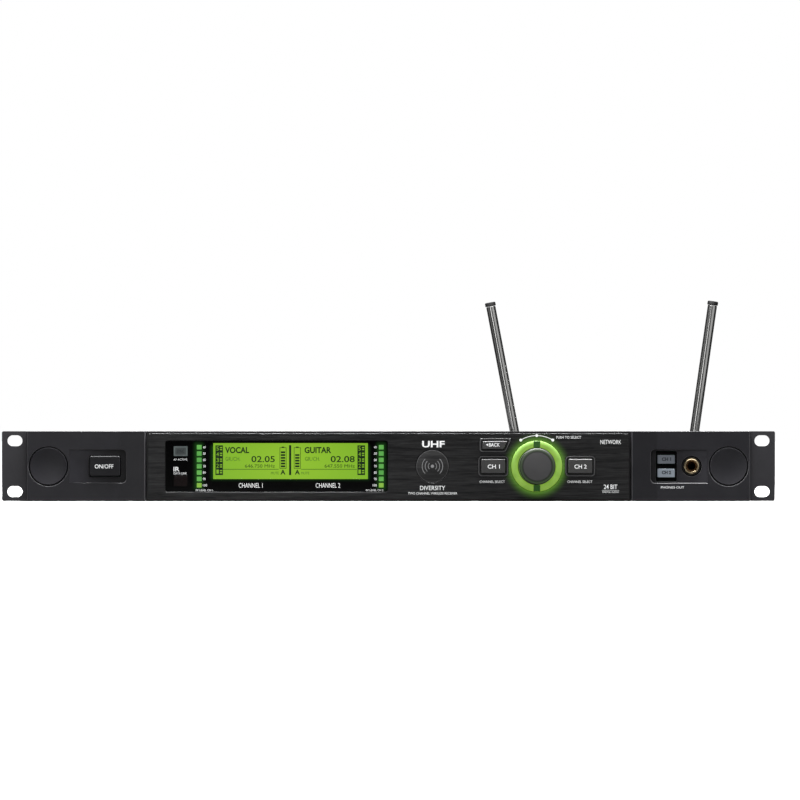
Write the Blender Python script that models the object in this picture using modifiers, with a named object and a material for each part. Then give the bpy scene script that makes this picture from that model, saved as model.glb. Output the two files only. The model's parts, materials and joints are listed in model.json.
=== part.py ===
"""Two-channel wireless receiver for a 19 inch rack, one unit high, with two rod antennas on its back.

Frame: the origin is the centre of the case's underside. +X is to the right of someone facing the front panel,
+Y runs from the front panel to the back, +Z is up. All sizes are in metres.
Each object in the collection "wireless_receiver" is one physical piece.
"""

import math

import bmesh
import bpy
from mathutils import Matrix, Vector

# ---- Driving dimensions: rack panel ----
PANEL_WIDTH = 0.4826
PANEL_HEIGHT = 0.0436
PANEL_THICK = 0.003
PANEL_CORNER = 0.0008
EAR_WIDTH = 0.0155
RACK_HOLE_SPAN_X = 0.4666
RACK_HOLE_SPAN_Z = 0.03175
RACK_SLOT_LENGTH = 0.0102
RACK_SLOT_HEIGHT = 0.0076

# ---- Driving dimensions: case ----
CASE_WIDTH = 0.440
CASE_DEPTH = 0.190
CASE_TOP_DROP = 0.0008  # the cover sits this much below the panel's top edge
SHEET = 0.0012  # folded steel
FLANGE_HEIGHT = 0.012  # the cover's turned-down sides
GAP = 0.0003  # between pieces that touch
SLIDE_GAP = 0.00035  # round a piece that moves through a hole
SCREW_SHANK = 0.0015  # radius
SCREW_HEAD = 0.0028  # radius
SCREW_HEAD_HEIGHT = 0.0018
SCREW_LENGTH = 0.006
SCREW_INSET = 0.035  # from the case's front and back edges
VENT_WIDTH = 0.0022
VENT_HEIGHT = 0.016
VENT_PITCH = 0.006
SIDE_VENTS = 10
REAR_VENTS = 9

# ---- Driving dimensions: front mouldings ----
CENTRE_HALF = 0.151  # half the width of the centre section
CREASE_X = 0.1675  # where the side moulding starts to rise to the centre
SIDE_STEP = 0.0036  # the side moulding's thickness
CENTRE_STEP = 0.0051  # the fascia's face in front of the rack panel
EDGE_CHAMFER = 0.0007
FRAME_THICK = 0.003
FASCIA_THICK = 0.0015
FASCIA_MARGIN = 0.0014  # the frame shows this much above and below the fascia
RECESS_HEIGHT = 0.0209
RECESS_INNER_X = 0.1636
RECESS_OUTER_X = 0.1988
RECESS_DEPTH = 0.0024
RECESS_END_DEPTH = 0.0005  # by the port cap
RECESS_CORNER = 0.0025

# ---- Driving dimensions: display ----
WINDOW_X = -0.0697
WINDOW_WIDTH = 0.1382
WINDOW_HEIGHT = 0.0316
WINDOW_THICK = 0.0013
WINDOW_CORNER = 0.0012
WINDOW_LEDGE = 0.0015
LCD_LEFT = 0.0256  # from the window's left edge
LCD_RIGHT = 0.0086  # from the window's right edge
LCD_RISE = 0.0033  # centre above the panel's middle
LCD_HEIGHT = 0.0255
METER_LEFT = 0.0206  # the left meter's centre, from the window's left edge
METER_RIGHT = 0.0039  # the right meter's centre, from the window's right edge
METER_WIDTH = 0.0038
METER_HEIGHT = 0.0286
METER_RISE = 0.0
LAMP_LEFT = 0.0093  # the lamp's and the eye's centre, from the window's left edge
LAMP_RISE = 0.0094
LAMP_WIDTH = 0.0092
LAMP_HEIGHT = 0.0067
EYE_RISE = -0.0092
EYE_WIDTH = 0.0084
EYE_HEIGHT = 0.0064
BOARD_THICK = 0.0016
BOARD_STANDOFF = 0.0085  # front board behind the rack panel
BOARD_LEFT = -0.190
BOARD_RIGHT = 0.180
BOARD_MARGIN_Z = 0.004
SWITCH_HEIGHT = 0.0035  # the small switches behind the keys
SWITCH_SIDE = 0.006

# ---- Driving dimensions: controls ----
KNOB_X = 0.0924
KNOB_RADIUS = 0.0113
KNOB_TAPER = 0.0015  # the face's radius is smaller than the skirt's by this
KNOB_LENGTH = 0.0125
KNOB_BACK_ROOM = 0.0017
KNOB_PUSH = 0.0007
RING_GAP = 0.0007  # round the knob
RING_WIDTH = 0.0039
RING_PROUD = 0.0014
SHAFT_RADIUS = 0.003
BORE_PLAY = 0.00012  # radial, round a turning shaft
ENCODER_SIDE = 0.0122
KEY_RING_GAP = 0.0037  # between the ring and a channel key
KEY_WIDTH = 0.0150
KEY_HEIGHT = 0.0090
KEY_CORNER = 0.0007
KEY_PROUD = 0.0013
KEY_TRAVEL = 0.0006
KEY_FLANGE = 0.001
KEY_FLANGE_THICK = 0.001
KEY_STEM = 0.0016  # radius
RIM_WIDTH = 0.0014
RIM_PROUD = 0.0002
BACK_KEY_GAP = 0.0025  # between the ring and the back key, along X
BACK_KEY_RISE = 0.0131
BACK_KEY_WIDTH = 0.0154
BACK_KEY_SLANT = 0.0022
BACK_KEY_HEIGHT = 0.0050
POWER_X = -0.1769
POWER_WIDTH = 0.0193
POWER_HEIGHT = 0.0128
POWER_PROUD = 0.0008
POWER_TRAVEL = 0.0012
PHONES_X = 0.1733
PHONES_SPREAD = 0.0085
PHONES_KEY_WIDTH = 0.0104
PHONES_KEY_HEIGHT = 0.0053
PHONES_FRAME_WIDTH = 0.0126
PHONES_FRAME_HEIGHT = 0.0184
PHONES_TRAVEL = 0.0006
JACK_X = 0.189
JACK_OUTER = 0.0046
JACK_BORE = 0.0032
JACK_WELL = 0.0064
JACK_DEPTH = 0.032
PORT_X = 0.212
PORT_RADIUS = 0.01215
PORT_PLUG_RADIUS = 0.0048
EMBLEM_X = 0.0274
EMBLEM_RADIUS = 0.0102

# ---- Driving dimensions: back panel ----
ANTENNA_X = (0.0889, 0.2038)
ANTENNA_LEAN = (-10.75, 8.1)  # degrees from upright, to the right as seen from the front
ANTENNA_REACH = 0.1109  # from the plug's axis to the tip
ROD_RADIUS = 0.00315
CAP_RADIUS = 0.0036
CAP_HEIGHT = 0.0026
SOCKET_NUT = 0.0072
SOCKET_NUT_THICK = 0.002
SOCKET_BARREL = 0.0048
SOCKET_REACH = 0.011
SOCKET_INSIDE = 0.010
SOCKET_INSIDE_RADIUS = 0.0055
COLLAR_OUTER = 0.0070
COLLAR_BORE = 0.0055
COLLAR_LENGTH = 0.012
COLLAR_FLOOR = 0.0025
NECK_RADIUS = 0.004
NECK_LENGTH = 0.003
FORK_EAR = 0.0022
FORK_RADIUS = 0.0045
TANG_THICK = 0.0028
PIN_RADIUS = 0.001
PIN_PLAY = 0.00012
ROD_START = 0.007  # from the pin
OUTPUT_X = (-0.028, -0.062)
DIGITAL_X = 0.010
XLR_FLANGE_WIDTH = 0.026
XLR_FLANGE_HEIGHT = 0.031
XLR_FLANGE_THICK = 0.0018
XLR_SHELL = 0.0116
XLR_CUP = 0.0098
XLR_BODY_DEPTH = 0.022
XLR_CUP_DEPTH = 0.016
XLR_PIN = 0.00115
XLR_PIN_CIRCLE = 0.0048
NETWORK_X = 0.146
NETWORK_WIDTH = 0.0335
NETWORK_HEIGHT = 0.0145
NETWORK_DEPTH = 0.021
NETWORK_PORT = (0.0118, 0.0085)
NETWORK_PORT_DEPTH = 0.014
CLOCK_X = 0.052
MAINS_X = -0.185
MAINS_FLANGE = (0.050, 0.0235)
MAINS_BODY = (0.0275, 0.0205)
MAINS_CAVITY = (0.0245, 0.0165)
MAINS_DEPTH = 0.024
MAINS_CAVITY_DEPTH = 0.0155
REAR_VENT_X = -0.118

# ---- Driving dimensions: boards inside ----
MAIN_BOARD_Z = 0.0075
MAIN_BOARD_X = (-0.078, 0.212)
MAIN_BOARD_Y = (-0.068, 0.068)
MODULE_SIZE = (0.042, 0.060, 0.016)
SUPPLY_BOARD_X = (-0.208, -0.098)
SUPPLY_BOARD_Y = (-0.050, 0.058)
TRANSFORMER_SIZE = (0.034, 0.030, 0.024)
SINK_SIZE = (0.060, 0.016, 0.026)
SINK_FINS = 6
RIBBON_WIDTH = 0.030
RIBBON_THICK = 0.0009

# ---- Worked out from the values above ----
MID_Z = PANEL_HEIGHT / 2
CASE_HEIGHT = PANEL_HEIGHT - CASE_TOP_DROP
PLATE_BACK_Y = -CASE_DEPTH / 2
PLATE_FRONT_Y = PLATE_BACK_Y - PANEL_THICK
REAR_Y = CASE_DEPTH / 2
TRAY_HALF = CASE_WIDTH / 2 - SHEET - GAP
EAR_X = PANEL_WIDTH / 2 - EAR_WIDTH
FASCIA_BACK = GAP + FRAME_THICK + GAP
WINDOW_LOW_X = WINDOW_X - WINDOW_WIDTH / 2
WINDOW_HIGH_X = WINDOW_X + WINDOW_WIDTH / 2
LCD_X = (WINDOW_LOW_X + LCD_LEFT + WINDOW_HIGH_X - LCD_RIGHT) / 2
LCD_WIDTH = WINDOW_WIDTH - LCD_LEFT - LCD_RIGHT
METER_LEFT_X = WINDOW_LOW_X + METER_LEFT
METER_RIGHT_X = WINDOW_HIGH_X - METER_RIGHT
LAMP_X = WINDOW_LOW_X + LAMP_LEFT
KNOB_TOP_RADIUS = KNOB_RADIUS - KNOB_TAPER
RING_INNER = KNOB_RADIUS + RING_GAP
RING_OUTER = RING_INNER + RING_WIDTH
KEY_SPREAD = RING_OUTER + KEY_RING_GAP + KEY_WIDTH / 2  # channel keys either side of the knob
BACK_KEY_X = -(RING_OUTER + BACK_KEY_GAP + BACK_KEY_WIDTH / 2)  # from the knob
FRAME_FRONT = GAP + FRAME_THICK
BOARD_FRONT_Y = PLATE_BACK_Y + BOARD_STANDOFF

COLLECTION = None
CUTTERS = None
FINISHES = {}


def start_scene():
    """An empty scene with one collection for the pieces and one for the cutters."""
    global COLLECTION, CUTTERS
    for old in list(bpy.data.objects):
        bpy.data.objects.remove(old)
    scene = bpy.context.scene.collection
    COLLECTION = bpy.data.collections.new("wireless_receiver")
    CUTTERS = bpy.data.collections.new("cutters")
    scene.children.link(COLLECTION)
    scene.children.link(CUTTERS)


def finish(name, colour, roughness, metallic=0.0, glow=0.0):
    """A Principled material."""
    made = bpy.data.materials.new(name)
    made.use_nodes = True
    shader = made.node_tree.nodes["Principled BSDF"]
    shader.inputs["Base Color"].default_value = (*colour, 1.0)
    shader.inputs["Roughness"].default_value = roughness
    shader.inputs["Metallic"].default_value = metallic
    shader.inputs["Emission Color"].default_value = (*colour, 1.0)
    shader.inputs["Emission Strength"].default_value = glow
    made.diffuse_color = (*colour, 1.0)
    FINISHES[name] = made


def make_finishes():
    finish("case_steel", (0.016, 0.016, 0.018), 0.55)
    finish("panel_paint", (0.036, 0.035, 0.040), 0.5)
    finish("side_moulding", (0.028, 0.027, 0.032), 0.42)
    finish("brushed_fascia", (0.020, 0.020, 0.021), 0.35, 0.8)
    finish("black_plastic", (0.010, 0.010, 0.011), 0.35)
    finish("key_grey", (0.055, 0.055, 0.056), 0.4)
    finish("window_black", (0.002, 0.002, 0.002), 0.08)
    finish("lcd_green", (0.28, 0.60, 0.05), 0.4, 0.0, 0.8)
    finish("lamp_green", (0.12, 0.55, 0.12), 0.4, 0.0, 0.8)
    finish("lamp_grey", (0.25, 0.30, 0.34), 0.4)
    finish("ring_green", (0.35, 0.70, 0.08), 0.35, 0.0, 0.6)
    finish("bright_metal", (0.62, 0.62, 0.62), 0.22, 1.0)
    finish("dark_metal", (0.12, 0.12, 0.12), 0.3, 1.0)
    finish("gold", (0.75, 0.52, 0.22), 0.22, 1.0)
    finish("circuit_board", (0.010, 0.070, 0.030), 0.5)
    finish("bare_aluminium", (0.60, 0.60, 0.61), 0.4, 1.0)
    finish("tinned_steel", (0.55, 0.55, 0.53), 0.35, 1.0)
    finish("ferrite", (0.45, 0.34, 0.10), 0.6)
    finish("cable_grey", (0.35, 0.35, 0.36), 0.6)


# ---- Shapes: each function returns a mesh ----
def mesh_from(bm, name="shape"):
    made = bpy.data.meshes.new(name)
    bm.to_mesh(made)
    bm.free()
    return made


def block(x, y, z, corner=0.0, along=1, segments=3):
    """A box over the spans x, y and z. corner rounds its four edges that run along the axis."""
    bm = bmesh.new()
    bmesh.ops.create_cube(bm, size=1.0)
    spans = (x, y, z)
    size = [hi - lo for lo, hi in spans]
    middle = [(hi + lo) / 2 for lo, hi in spans]
    bmesh.ops.scale(bm, vec=size, verts=bm.verts)
    bmesh.ops.translate(bm, vec=middle, verts=bm.verts)
    if corner > 0:
        edges = [e for e in bm.edges if abs((e.verts[0].co - e.verts[1].co)[along]) > size[along] / 2]
        bmesh.ops.bevel(
            bm, geom=edges, offset=corner, segments=segments, profile=0.5, affect="EDGES", material=-1
        )
    return mesh_from(bm)


def centred_block(centre, size, corner=0.0, along=1, segments=3):
    """A box from its centre and size."""
    spans = [(c - s / 2, c + s / 2) for c, s in zip(centre, size)]
    return block(*spans, corner=corner, along=along, segments=segments)


def rod(start, end, radius, segments=20):
    """A capped cylinder between two points."""
    start, end = Vector(start), Vector(end)
    line = end - start
    bm = bmesh.new()
    bmesh.ops.create_cone(
        bm, cap_ends=True, segments=segments, radius1=radius, radius2=radius, depth=line.length
    )
    turn = line.to_track_quat("Z", "Y").to_matrix().to_4x4()
    bmesh.ops.transform(bm, matrix=Matrix.Translation((start + end) / 2) @ turn, verts=bm.verts)
    return mesh_from(bm)


def mesh_of(helper):
    """The evaluated mesh of a helper object, welded and facing out. The helper is removed."""
    bpy.context.view_layer.update()
    graph = bpy.context.evaluated_depsgraph_get()
    made = bpy.data.meshes.new_from_object(helper.evaluated_get(graph))
    bm = bmesh.new()
    bm.from_mesh(made)
    bmesh.ops.transform(bm, matrix=helper.matrix_world, verts=bm.verts)
    bmesh.ops.remove_doubles(bm, verts=bm.verts, dist=1e-6)
    bmesh.ops.recalc_face_normals(bm, faces=bm.faces)
    bm.to_mesh(made)
    bm.free()
    bpy.data.objects.remove(helper)
    return made


def turned(profile, steps=20):
    """A solid of revolution about the Y axis. The profile is a closed loop of (radius, y) points, or an open
    one whose two ends are on the axis."""
    bm = bmesh.new()
    points = [bm.verts.new((r, y, 0.0)) for r, y in profile]
    edges = zip(points, points[1:])
    for a, b in edges:
        bm.edges.new((a, b))
    if profile[0][0] > 0 or profile[-1][0] > 0:
        bm.edges.new((points[-1], points[0]))
    helper = bpy.data.objects.new("profile", mesh_from(bm))
    CUTTERS.objects.link(helper)
    screw = helper.modifiers.new("turn", "SCREW")
    screw.axis = "Y"
    screw.steps = steps
    screw.render_steps = steps
    screw.use_merge_vertices = True
    screw.merge_threshold = 1e-6
    return mesh_of(helper)


def outline_solid(points, low, high, plane="XY"):
    """A flat outline given thickness. In plane XY the thickness runs along Z from low to high. In plane XZ
    the outline's points are (x, z) and the thickness runs along Y."""
    curve = bpy.data.curves.new("outline", "CURVE")
    curve.dimensions = "2D"
    curve.fill_mode = "BOTH"
    curve.extrude = (high - low) / 2
    spline = curve.splines.new("POLY")
    spline.points.add(len(points) - 1)
    for slot, (u, v) in zip(spline.points, points):
        slot.co = (u, v, 0.0, 1.0)
    spline.use_cyclic_u = True
    helper = bpy.data.objects.new("outline", curve)
    CUTTERS.objects.link(helper)
    if plane == "XY":
        helper.matrix_world = Matrix.Translation((0, 0, (low + high) / 2))
    else:
        helper.matrix_world = Matrix.Translation((0, (low + high) / 2, 0)) @ Matrix.Rotation(
            math.radians(90), 4, "X"
        )
    return mesh_of(helper)


def in_front(depth):
    """The Y of a plane this far in front of the rack panel's face."""
    return PLATE_FRONT_Y - depth


def ring_profile(inner, outer, back_y, front_y):
    """The closed profile of a plain ring."""
    return [(outer, front_y), (outer, back_y), (inner, back_y), (inner, front_y)]


# ---- Objects ----
def piece(name, mesh, look, at=(0, 0, 0), parent=None):
    """One physical piece. Its mesh is given about the point at, which becomes its origin."""
    made = bpy.data.objects.new(name, mesh)
    made.data.materials.clear()
    made.data.materials.append(FINISHES[look])
    COLLECTION.objects.link(made)
    made.location = at
    made.parent = parent
    return made


def tool(base, mesh, operation):
    """A Boolean on a piece, with its helper kept in the cutters collection and in the piece's own frame."""
    helper = bpy.data.objects.new(f"{base.name}_{operation.lower()}", mesh)
    CUTTERS.objects.link(helper)
    helper.location = base.location
    helper.parent = base.parent
    helper.hide_render = True
    helper.display_type = "WIRE"
    step = base.modifiers.new(operation.lower(), "BOOLEAN")
    step.operation = operation
    step.solver = "EXACT"
    step.object = helper
    return step


def cut(base, *meshes):
    for mesh in meshes:
        tool(base, mesh, "DIFFERENCE")


def add(base, *meshes):
    for mesh in meshes:
        tool(base, mesh, "UNION")


def pivot(name, at, turn=0.0):
    """An empty on a joint's axis, turned about Y by degrees (positive leans to the right)."""
    made = bpy.data.objects.new(name, None)
    COLLECTION.objects.link(made)
    made.location = at
    made.rotation_euler = (0.0, math.radians(turn), 0.0)
    return made


def hole_y(x, z, width, height, corner=0.0, reach=0.03):
    """A cutter through every front layer, centred at x, z."""
    return block(
        (x - width / 2, x + width / 2),
        (PLATE_BACK_Y - reach, PLATE_BACK_Y + reach),
        (z - height / 2, z + height / 2),
        corner=corner,
    )


def round_hole_y(x, z, radius, segments=20, reach=0.03):
    return rod((x, PLATE_BACK_Y - reach, z), (x, PLATE_BACK_Y + reach, z), radius, segments)


# ---- Case ----
def make_tray():
    """Floor and two side walls, folded from one sheet."""
    front_y = PLATE_BACK_Y + GAP
    tray = piece(
        "chassis_tray",
        block((-TRAY_HALF, TRAY_HALF), (front_y, REAR_Y), (0, CASE_HEIGHT - SHEET - GAP)),
        "case_steel",
    )
    inner = TRAY_HALF - SHEET
    cut(tray, block((-inner, inner), (front_y - 0.01, REAR_Y + 0.01), (SHEET, CASE_HEIGHT + 0.01)))
    first = -(SIDE_VENTS - 1) / 2 * VENT_PITCH
    vents_low = SHEET + 0.004
    for i in range(SIDE_VENTS):
        y = first + i * VENT_PITCH
        cut(
            tray,
            block(
                (-TRAY_HALF - 0.01, TRAY_HALF + 0.01),
                (y - VENT_WIDTH / 2, y + VENT_WIDTH / 2),
                (vents_low, vents_low + VENT_HEIGHT),
            ),
        )
    for y in screw_places():
        z = screw_height()
        cut(tray, rod((-CASE_WIDTH, y, z), (CASE_WIDTH, y, z), SCREW_SHANK + GAP, 12))


def screw_places():
    return (PLATE_BACK_Y + SCREW_INSET, REAR_Y - SCREW_INSET)


def screw_height():
    return CASE_HEIGHT - FLANGE_HEIGHT / 2 - SHEET / 2


def make_cover():
    """Top sheet with its sides turned down outside the tray's walls."""
    half = CASE_WIDTH / 2
    front_y = PLATE_BACK_Y + GAP
    cover = piece(
        "top_cover",
        block((-half, half), (front_y, REAR_Y), (CASE_HEIGHT - FLANGE_HEIGHT, CASE_HEIGHT)),
        "case_steel",
    )
    cut(
        cover,
        block(
            (-half + SHEET, half - SHEET),
            (front_y - 0.01, REAR_Y + 0.01),
            (0, CASE_HEIGHT - SHEET),
        ),
    )
    z = screw_height()
    for y in screw_places():
        cut(cover, rod((-CASE_WIDTH, y, z), (CASE_WIDTH, y, z), SCREW_SHANK + GAP, 12))


def make_cover_screws():
    """Two pan-head screws through each side of the cover into the tray."""
    z = screw_height()
    number = 0
    for side in (-1, 1):
        for y in screw_places():
            number += 1
            outer = CASE_WIDTH / 2 + GAP
            screw = piece(
                f"cover_screw_{number}",
                rod((0, 0, 0), (side * SCREW_HEAD_HEIGHT, 0, 0), SCREW_HEAD, 16),
                "dark_metal",
                at=(side * outer, y, z),
            )
            shank = rod((side * SCREW_HEAD_HEIGHT / 2, 0, 0), (-side * SCREW_LENGTH, 0, 0), SCREW_SHANK, 12)
            add(screw, shank)


def make_rear_panel():
    """Flat back sheet between the tray's walls, with the connector cut-outs."""
    half = TRAY_HALF - SHEET - GAP
    low, high = SHEET + GAP, CASE_HEIGHT - SHEET - GAP
    panel = piece("rear_panel", block((-half, half), (REAR_Y - SHEET, REAR_Y), (low, high)), "case_steel")
    reach = (REAR_Y - 0.01, REAR_Y + 0.01)
    for x in (*ANTENNA_X, CLOCK_X):
        cut(panel, rod((x, reach[0], MID_Z), (x, reach[1], MID_Z), SOCKET_BARREL + GAP))
    for x in (*OUTPUT_X, DIGITAL_X):
        cut(panel, rod((x, reach[0], MID_Z), (x, reach[1], MID_Z), XLR_SHELL + GAP, 24))
    cut(
        panel,
        centred_block((NETWORK_X, REAR_Y, MID_Z), (NETWORK_WIDTH + 2 * GAP, 0.02, NETWORK_HEIGHT + 2 * GAP)),
        centred_block((MAINS_X, REAR_Y, MID_Z), (MAINS_BODY[0] + 2 * GAP, 0.02, MAINS_BODY[1] + 2 * GAP)),
    )
    first = REAR_VENT_X - (REAR_VENTS - 1) / 2 * VENT_PITCH
    for i in range(REAR_VENTS):
        cut(panel, centred_block((first + i * VENT_PITCH, REAR_Y, MID_Z), (VENT_WIDTH, 0.02, VENT_HEIGHT)))


# ---- Front panel and mouldings ----
def back_key_points(grow=0.0):
    """The back key's outline: a rectangle whose lower right corner is cut away on a slant. grow moves each
    side out by that much."""
    half_w, half_h = BACK_KEY_WIDTH / 2, BACK_KEY_HEIGHT / 2
    length = math.hypot(BACK_KEY_SLANT, BACK_KEY_HEIGHT)
    push = grow * length / BACK_KEY_HEIGHT  # along X, for a side moved out by grow
    slope = BACK_KEY_SLANT / BACK_KEY_HEIGHT
    x, z = KNOB_X + BACK_KEY_X, MID_Z + BACK_KEY_RISE
    return [
        (x - half_w - grow, z + half_h + grow),
        (x - half_w - grow, z - half_h - grow),
        (x + half_w - BACK_KEY_SLANT + push - slope * grow, z - half_h - grow),
        (x + half_w + push + slope * grow, z + half_h + grow),
    ]


def key_holes(grow):
    """Cutters for the back key and the two channel keys, larger than the keys by grow on every side."""
    yield outline_solid(back_key_points(grow), PLATE_BACK_Y - 0.03, PLATE_BACK_Y + 0.03, "XZ")
    for side in (-1, 1):
        yield hole_y(
            KNOB_X + side * KEY_SPREAD,
            MID_Z,
            KEY_WIDTH + 2 * grow,
            KEY_HEIGHT + 2 * grow,
            corner=KEY_CORNER + grow,
        )


def make_front_plate():
    """The 19 inch panel: two slotted ears, and openings for all that comes through from the case."""
    plate = piece(
        "front_plate",
        block(
            (-PANEL_WIDTH / 2, PANEL_WIDTH / 2),
            (PLATE_FRONT_Y, PLATE_BACK_Y),
            (0, PANEL_HEIGHT),
            corner=PANEL_CORNER,
            segments=2,
        ),
        "panel_paint",
    )
    for side in (-1, 1):
        for up in (-1, 1):
            x = side * RACK_HOLE_SPAN_X / 2
            z = MID_Z + up * RACK_HOLE_SPAN_Z / 2
            slot = hole_y(
                x, z, RACK_SLOT_LENGTH, RACK_SLOT_HEIGHT, corner=RACK_SLOT_HEIGHT / 2 - 1e-5, reach=0.02
            )
            cut(plate, slot)
    cut(plate, display_opening())
    cut(plate, round_hole_y(KNOB_X, MID_Z, RING_OUTER - 0.004))
    cut(plate, *key_holes(KEY_FLANGE + SLIDE_GAP))
    cut(plate, power_opening(), phones_opening(0.0))
    cut(plate, round_hole_y(JACK_X, MID_Z, JACK_OUTER + GAP))
    for side in (-1, 1):
        cut(plate, round_hole_y(side * PORT_X, MID_Z, PORT_PLUG_RADIUS + GAP, 16))


def display_opening():
    """Smaller than the window, which rests on the ledge this leaves."""
    return hole_y(
        WINDOW_X, MID_Z, WINDOW_WIDTH - 2 * WINDOW_LEDGE, WINDOW_HEIGHT - 2 * WINDOW_LEDGE, corner=0.0005
    )


def power_opening():
    return hole_y(POWER_X, MID_Z, POWER_WIDTH + 2 * SLIDE_GAP, POWER_HEIGHT + 2 * SLIDE_GAP, corner=0.0014)


def phones_opening(grow):
    return hole_y(
        PHONES_X, MID_Z, PHONES_FRAME_WIDTH + 2 * (GAP + grow), PHONES_FRAME_HEIGHT + 2 * (GAP + grow)
    )


def side_outline(side):
    """Plan of a side moulding: flat by the ear, then rising to the fascia. Its outer edges are chamfered."""
    inner = CENTRE_HALF + GAP / 2
    c = EDGE_CHAMFER
    plan = [
        (EAR_X, GAP),
        (EAR_X, SIDE_STEP - c),
        (EAR_X - c, SIDE_STEP),
        (CREASE_X, SIDE_STEP),
        (inner + c, CENTRE_STEP),
        (inner, CENTRE_STEP - c),
        (inner, GAP),
    ]
    return [(side * x, in_front(depth)) for x, depth in plan]


def recess_cutter(side):
    """A scoop whose floor deepens from a shallow step by the port cap to its full depth. The corners at its
    deep end are rounded."""
    length = RECESS_OUTER_X - RECESS_INNER_X
    angle = math.atan2(RECESS_DEPTH - RECESS_END_DEPTH, length)
    body = block(
        (0, length + 2 * RECESS_CORNER),
        (-0.02, 0),
        (MID_Z - RECESS_HEIGHT / 2, MID_Z + RECESS_HEIGHT / 2),
        corner=RECESS_CORNER,
        segments=4,
    )
    # The block's back face is the floor. Its near end stands at the recess's inner edge, at full depth.
    place = Matrix.Translation((RECESS_INNER_X, in_front(SIDE_STEP - RECESS_DEPTH), 0))
    body.transform(place @ Matrix.Rotation(-angle, 4, "Z"))
    bm = bmesh.new()
    bm.from_mesh(body)
    shape = bm.verts[:] + bm.edges[:] + bm.faces[:]
    end = (RECESS_OUTER_X, 0, 0)
    sliced = bmesh.ops.bisect_plane(bm, geom=shape, plane_co=end, plane_no=(1, 0, 0), clear_outer=True)
    rim = [item for item in sliced["geom_cut"] if isinstance(item, bmesh.types.BMEdge)]
    bmesh.ops.holes_fill(bm, edges=rim)
    body = mesh_from(bm)
    if side < 0:
        body.transform(Matrix.Scale(-1, 4, (1, 0, 0)))
        body.flip_normals()
    return body


def make_side_moulding(name, side):
    moulding = piece(name, outline_solid(side_outline(side), 0, PANEL_HEIGHT), "side_moulding")
    cut(moulding, recess_cutter(side))
    cut(moulding, round_hole_y(side * PORT_X, MID_Z, PORT_RADIUS + GAP, 40))
    return moulding


def make_front_mouldings():
    left = make_side_moulding("left_side_moulding", -1)
    cut(left, power_opening())
    right = make_side_moulding("right_side_moulding", 1)
    cut(right, phones_opening(0.0), round_hole_y(JACK_X, MID_Z, JACK_WELL, 24))
    for name, side in (("left_port_cap", -1), ("right_port_cap", 1)):
        rim = 0.0004
        front, seat = SIDE_STEP, GAP
        profile = [
            (0, -front),
            (PORT_RADIUS - rim, -front),
            (PORT_RADIUS, -front + rim),
            (PORT_RADIUS, -seat),
            (PORT_PLUG_RADIUS, -seat),
            (PORT_PLUG_RADIUS, PANEL_THICK + 0.002),
            (0, PANEL_THICK + 0.002),
        ]
        piece(name, turned(profile, 40), "side_moulding", at=(side * PORT_X, PLATE_FRONT_Y, MID_Z))


def make_centre():
    """The plastic frame with its rims round the keys, and the brushed fascia over it."""
    half = CENTRE_HALF - GAP / 2
    frame = piece(
        "centre_frame",
        block((-half, half), (in_front(FRAME_FRONT), in_front(GAP)), (0, PANEL_HEIGHT)),
        "black_plastic",
    )
    rim_front = CENTRE_STEP + RIM_PROUD
    rim_spans = (in_front(rim_front), in_front(GAP + FRAME_THICK / 2))
    rim = SLIDE_GAP + RIM_WIDTH
    add(frame, outline_solid(back_key_points(rim), *rim_spans, "XZ"))
    for side in (-1, 1):
        add(
            frame,
            centred_block(
                (KNOB_X + side * KEY_SPREAD, sum(rim_spans) / 2, MID_Z),
                (KEY_WIDTH + 2 * rim, rim_spans[1] - rim_spans[0], KEY_HEIGHT + 2 * rim),
                corner=KEY_CORNER + rim,
            ),
        )
    # Wide behind for the keys' flanges, then narrow where only the keys come through.
    pocket_depth = GAP + KEY_FLANGE_THICK + KEY_TRAVEL + GAP
    flange = KEY_FLANGE + SLIDE_GAP
    low, high = in_front(GAP + pocket_depth), PLATE_FRONT_Y + 0.01
    cut(frame, outline_solid(back_key_points(flange), low, high, "XZ"))
    for side in (-1, 1):
        x = KNOB_X + side * KEY_SPREAD
        wide, tall = KEY_WIDTH + 2 * flange, KEY_HEIGHT + 2 * flange
        cut(frame, block((x - wide / 2, x + wide / 2), (low, high), (MID_Z - tall / 2, MID_Z + tall / 2)))
    cut(frame, *key_holes(SLIDE_GAP))
    cut(frame, display_opening(), round_hole_y(KNOB_X, MID_Z, RING_OUTER - 0.004))

    half = CENTRE_HALF - EDGE_CHAMFER
    fascia = piece(
        "centre_fascia",
        block(
            (-half, half),
            (in_front(CENTRE_STEP), in_front(FASCIA_BACK)),
            (FASCIA_MARGIN, PANEL_HEIGHT - FASCIA_MARGIN),
            corner=0.0006,
            segments=2,
        ),
        "brushed_fascia",
    )
    cut(fascia, hole_y(WINDOW_X, MID_Z, WINDOW_WIDTH + 2 * GAP, WINDOW_HEIGHT + 2 * GAP, WINDOW_CORNER + GAP))
    cut(fascia, round_hole_y(KNOB_X, MID_Z, RING_OUTER + GAP, 48))
    cut(fascia, round_hole_y(EMBLEM_X, MID_Z, EMBLEM_RADIUS + GAP, 40))
    cut(fascia, *key_holes(rim + GAP))
    emblem = turned([(0, 0), (EMBLEM_RADIUS, 0), (EMBLEM_RADIUS, -FASCIA_THICK), (0, -FASCIA_THICK)], 40)
    piece("emblem_disc", emblem, "brushed_fascia", at=(EMBLEM_X, in_front(FASCIA_BACK), MID_Z))


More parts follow.
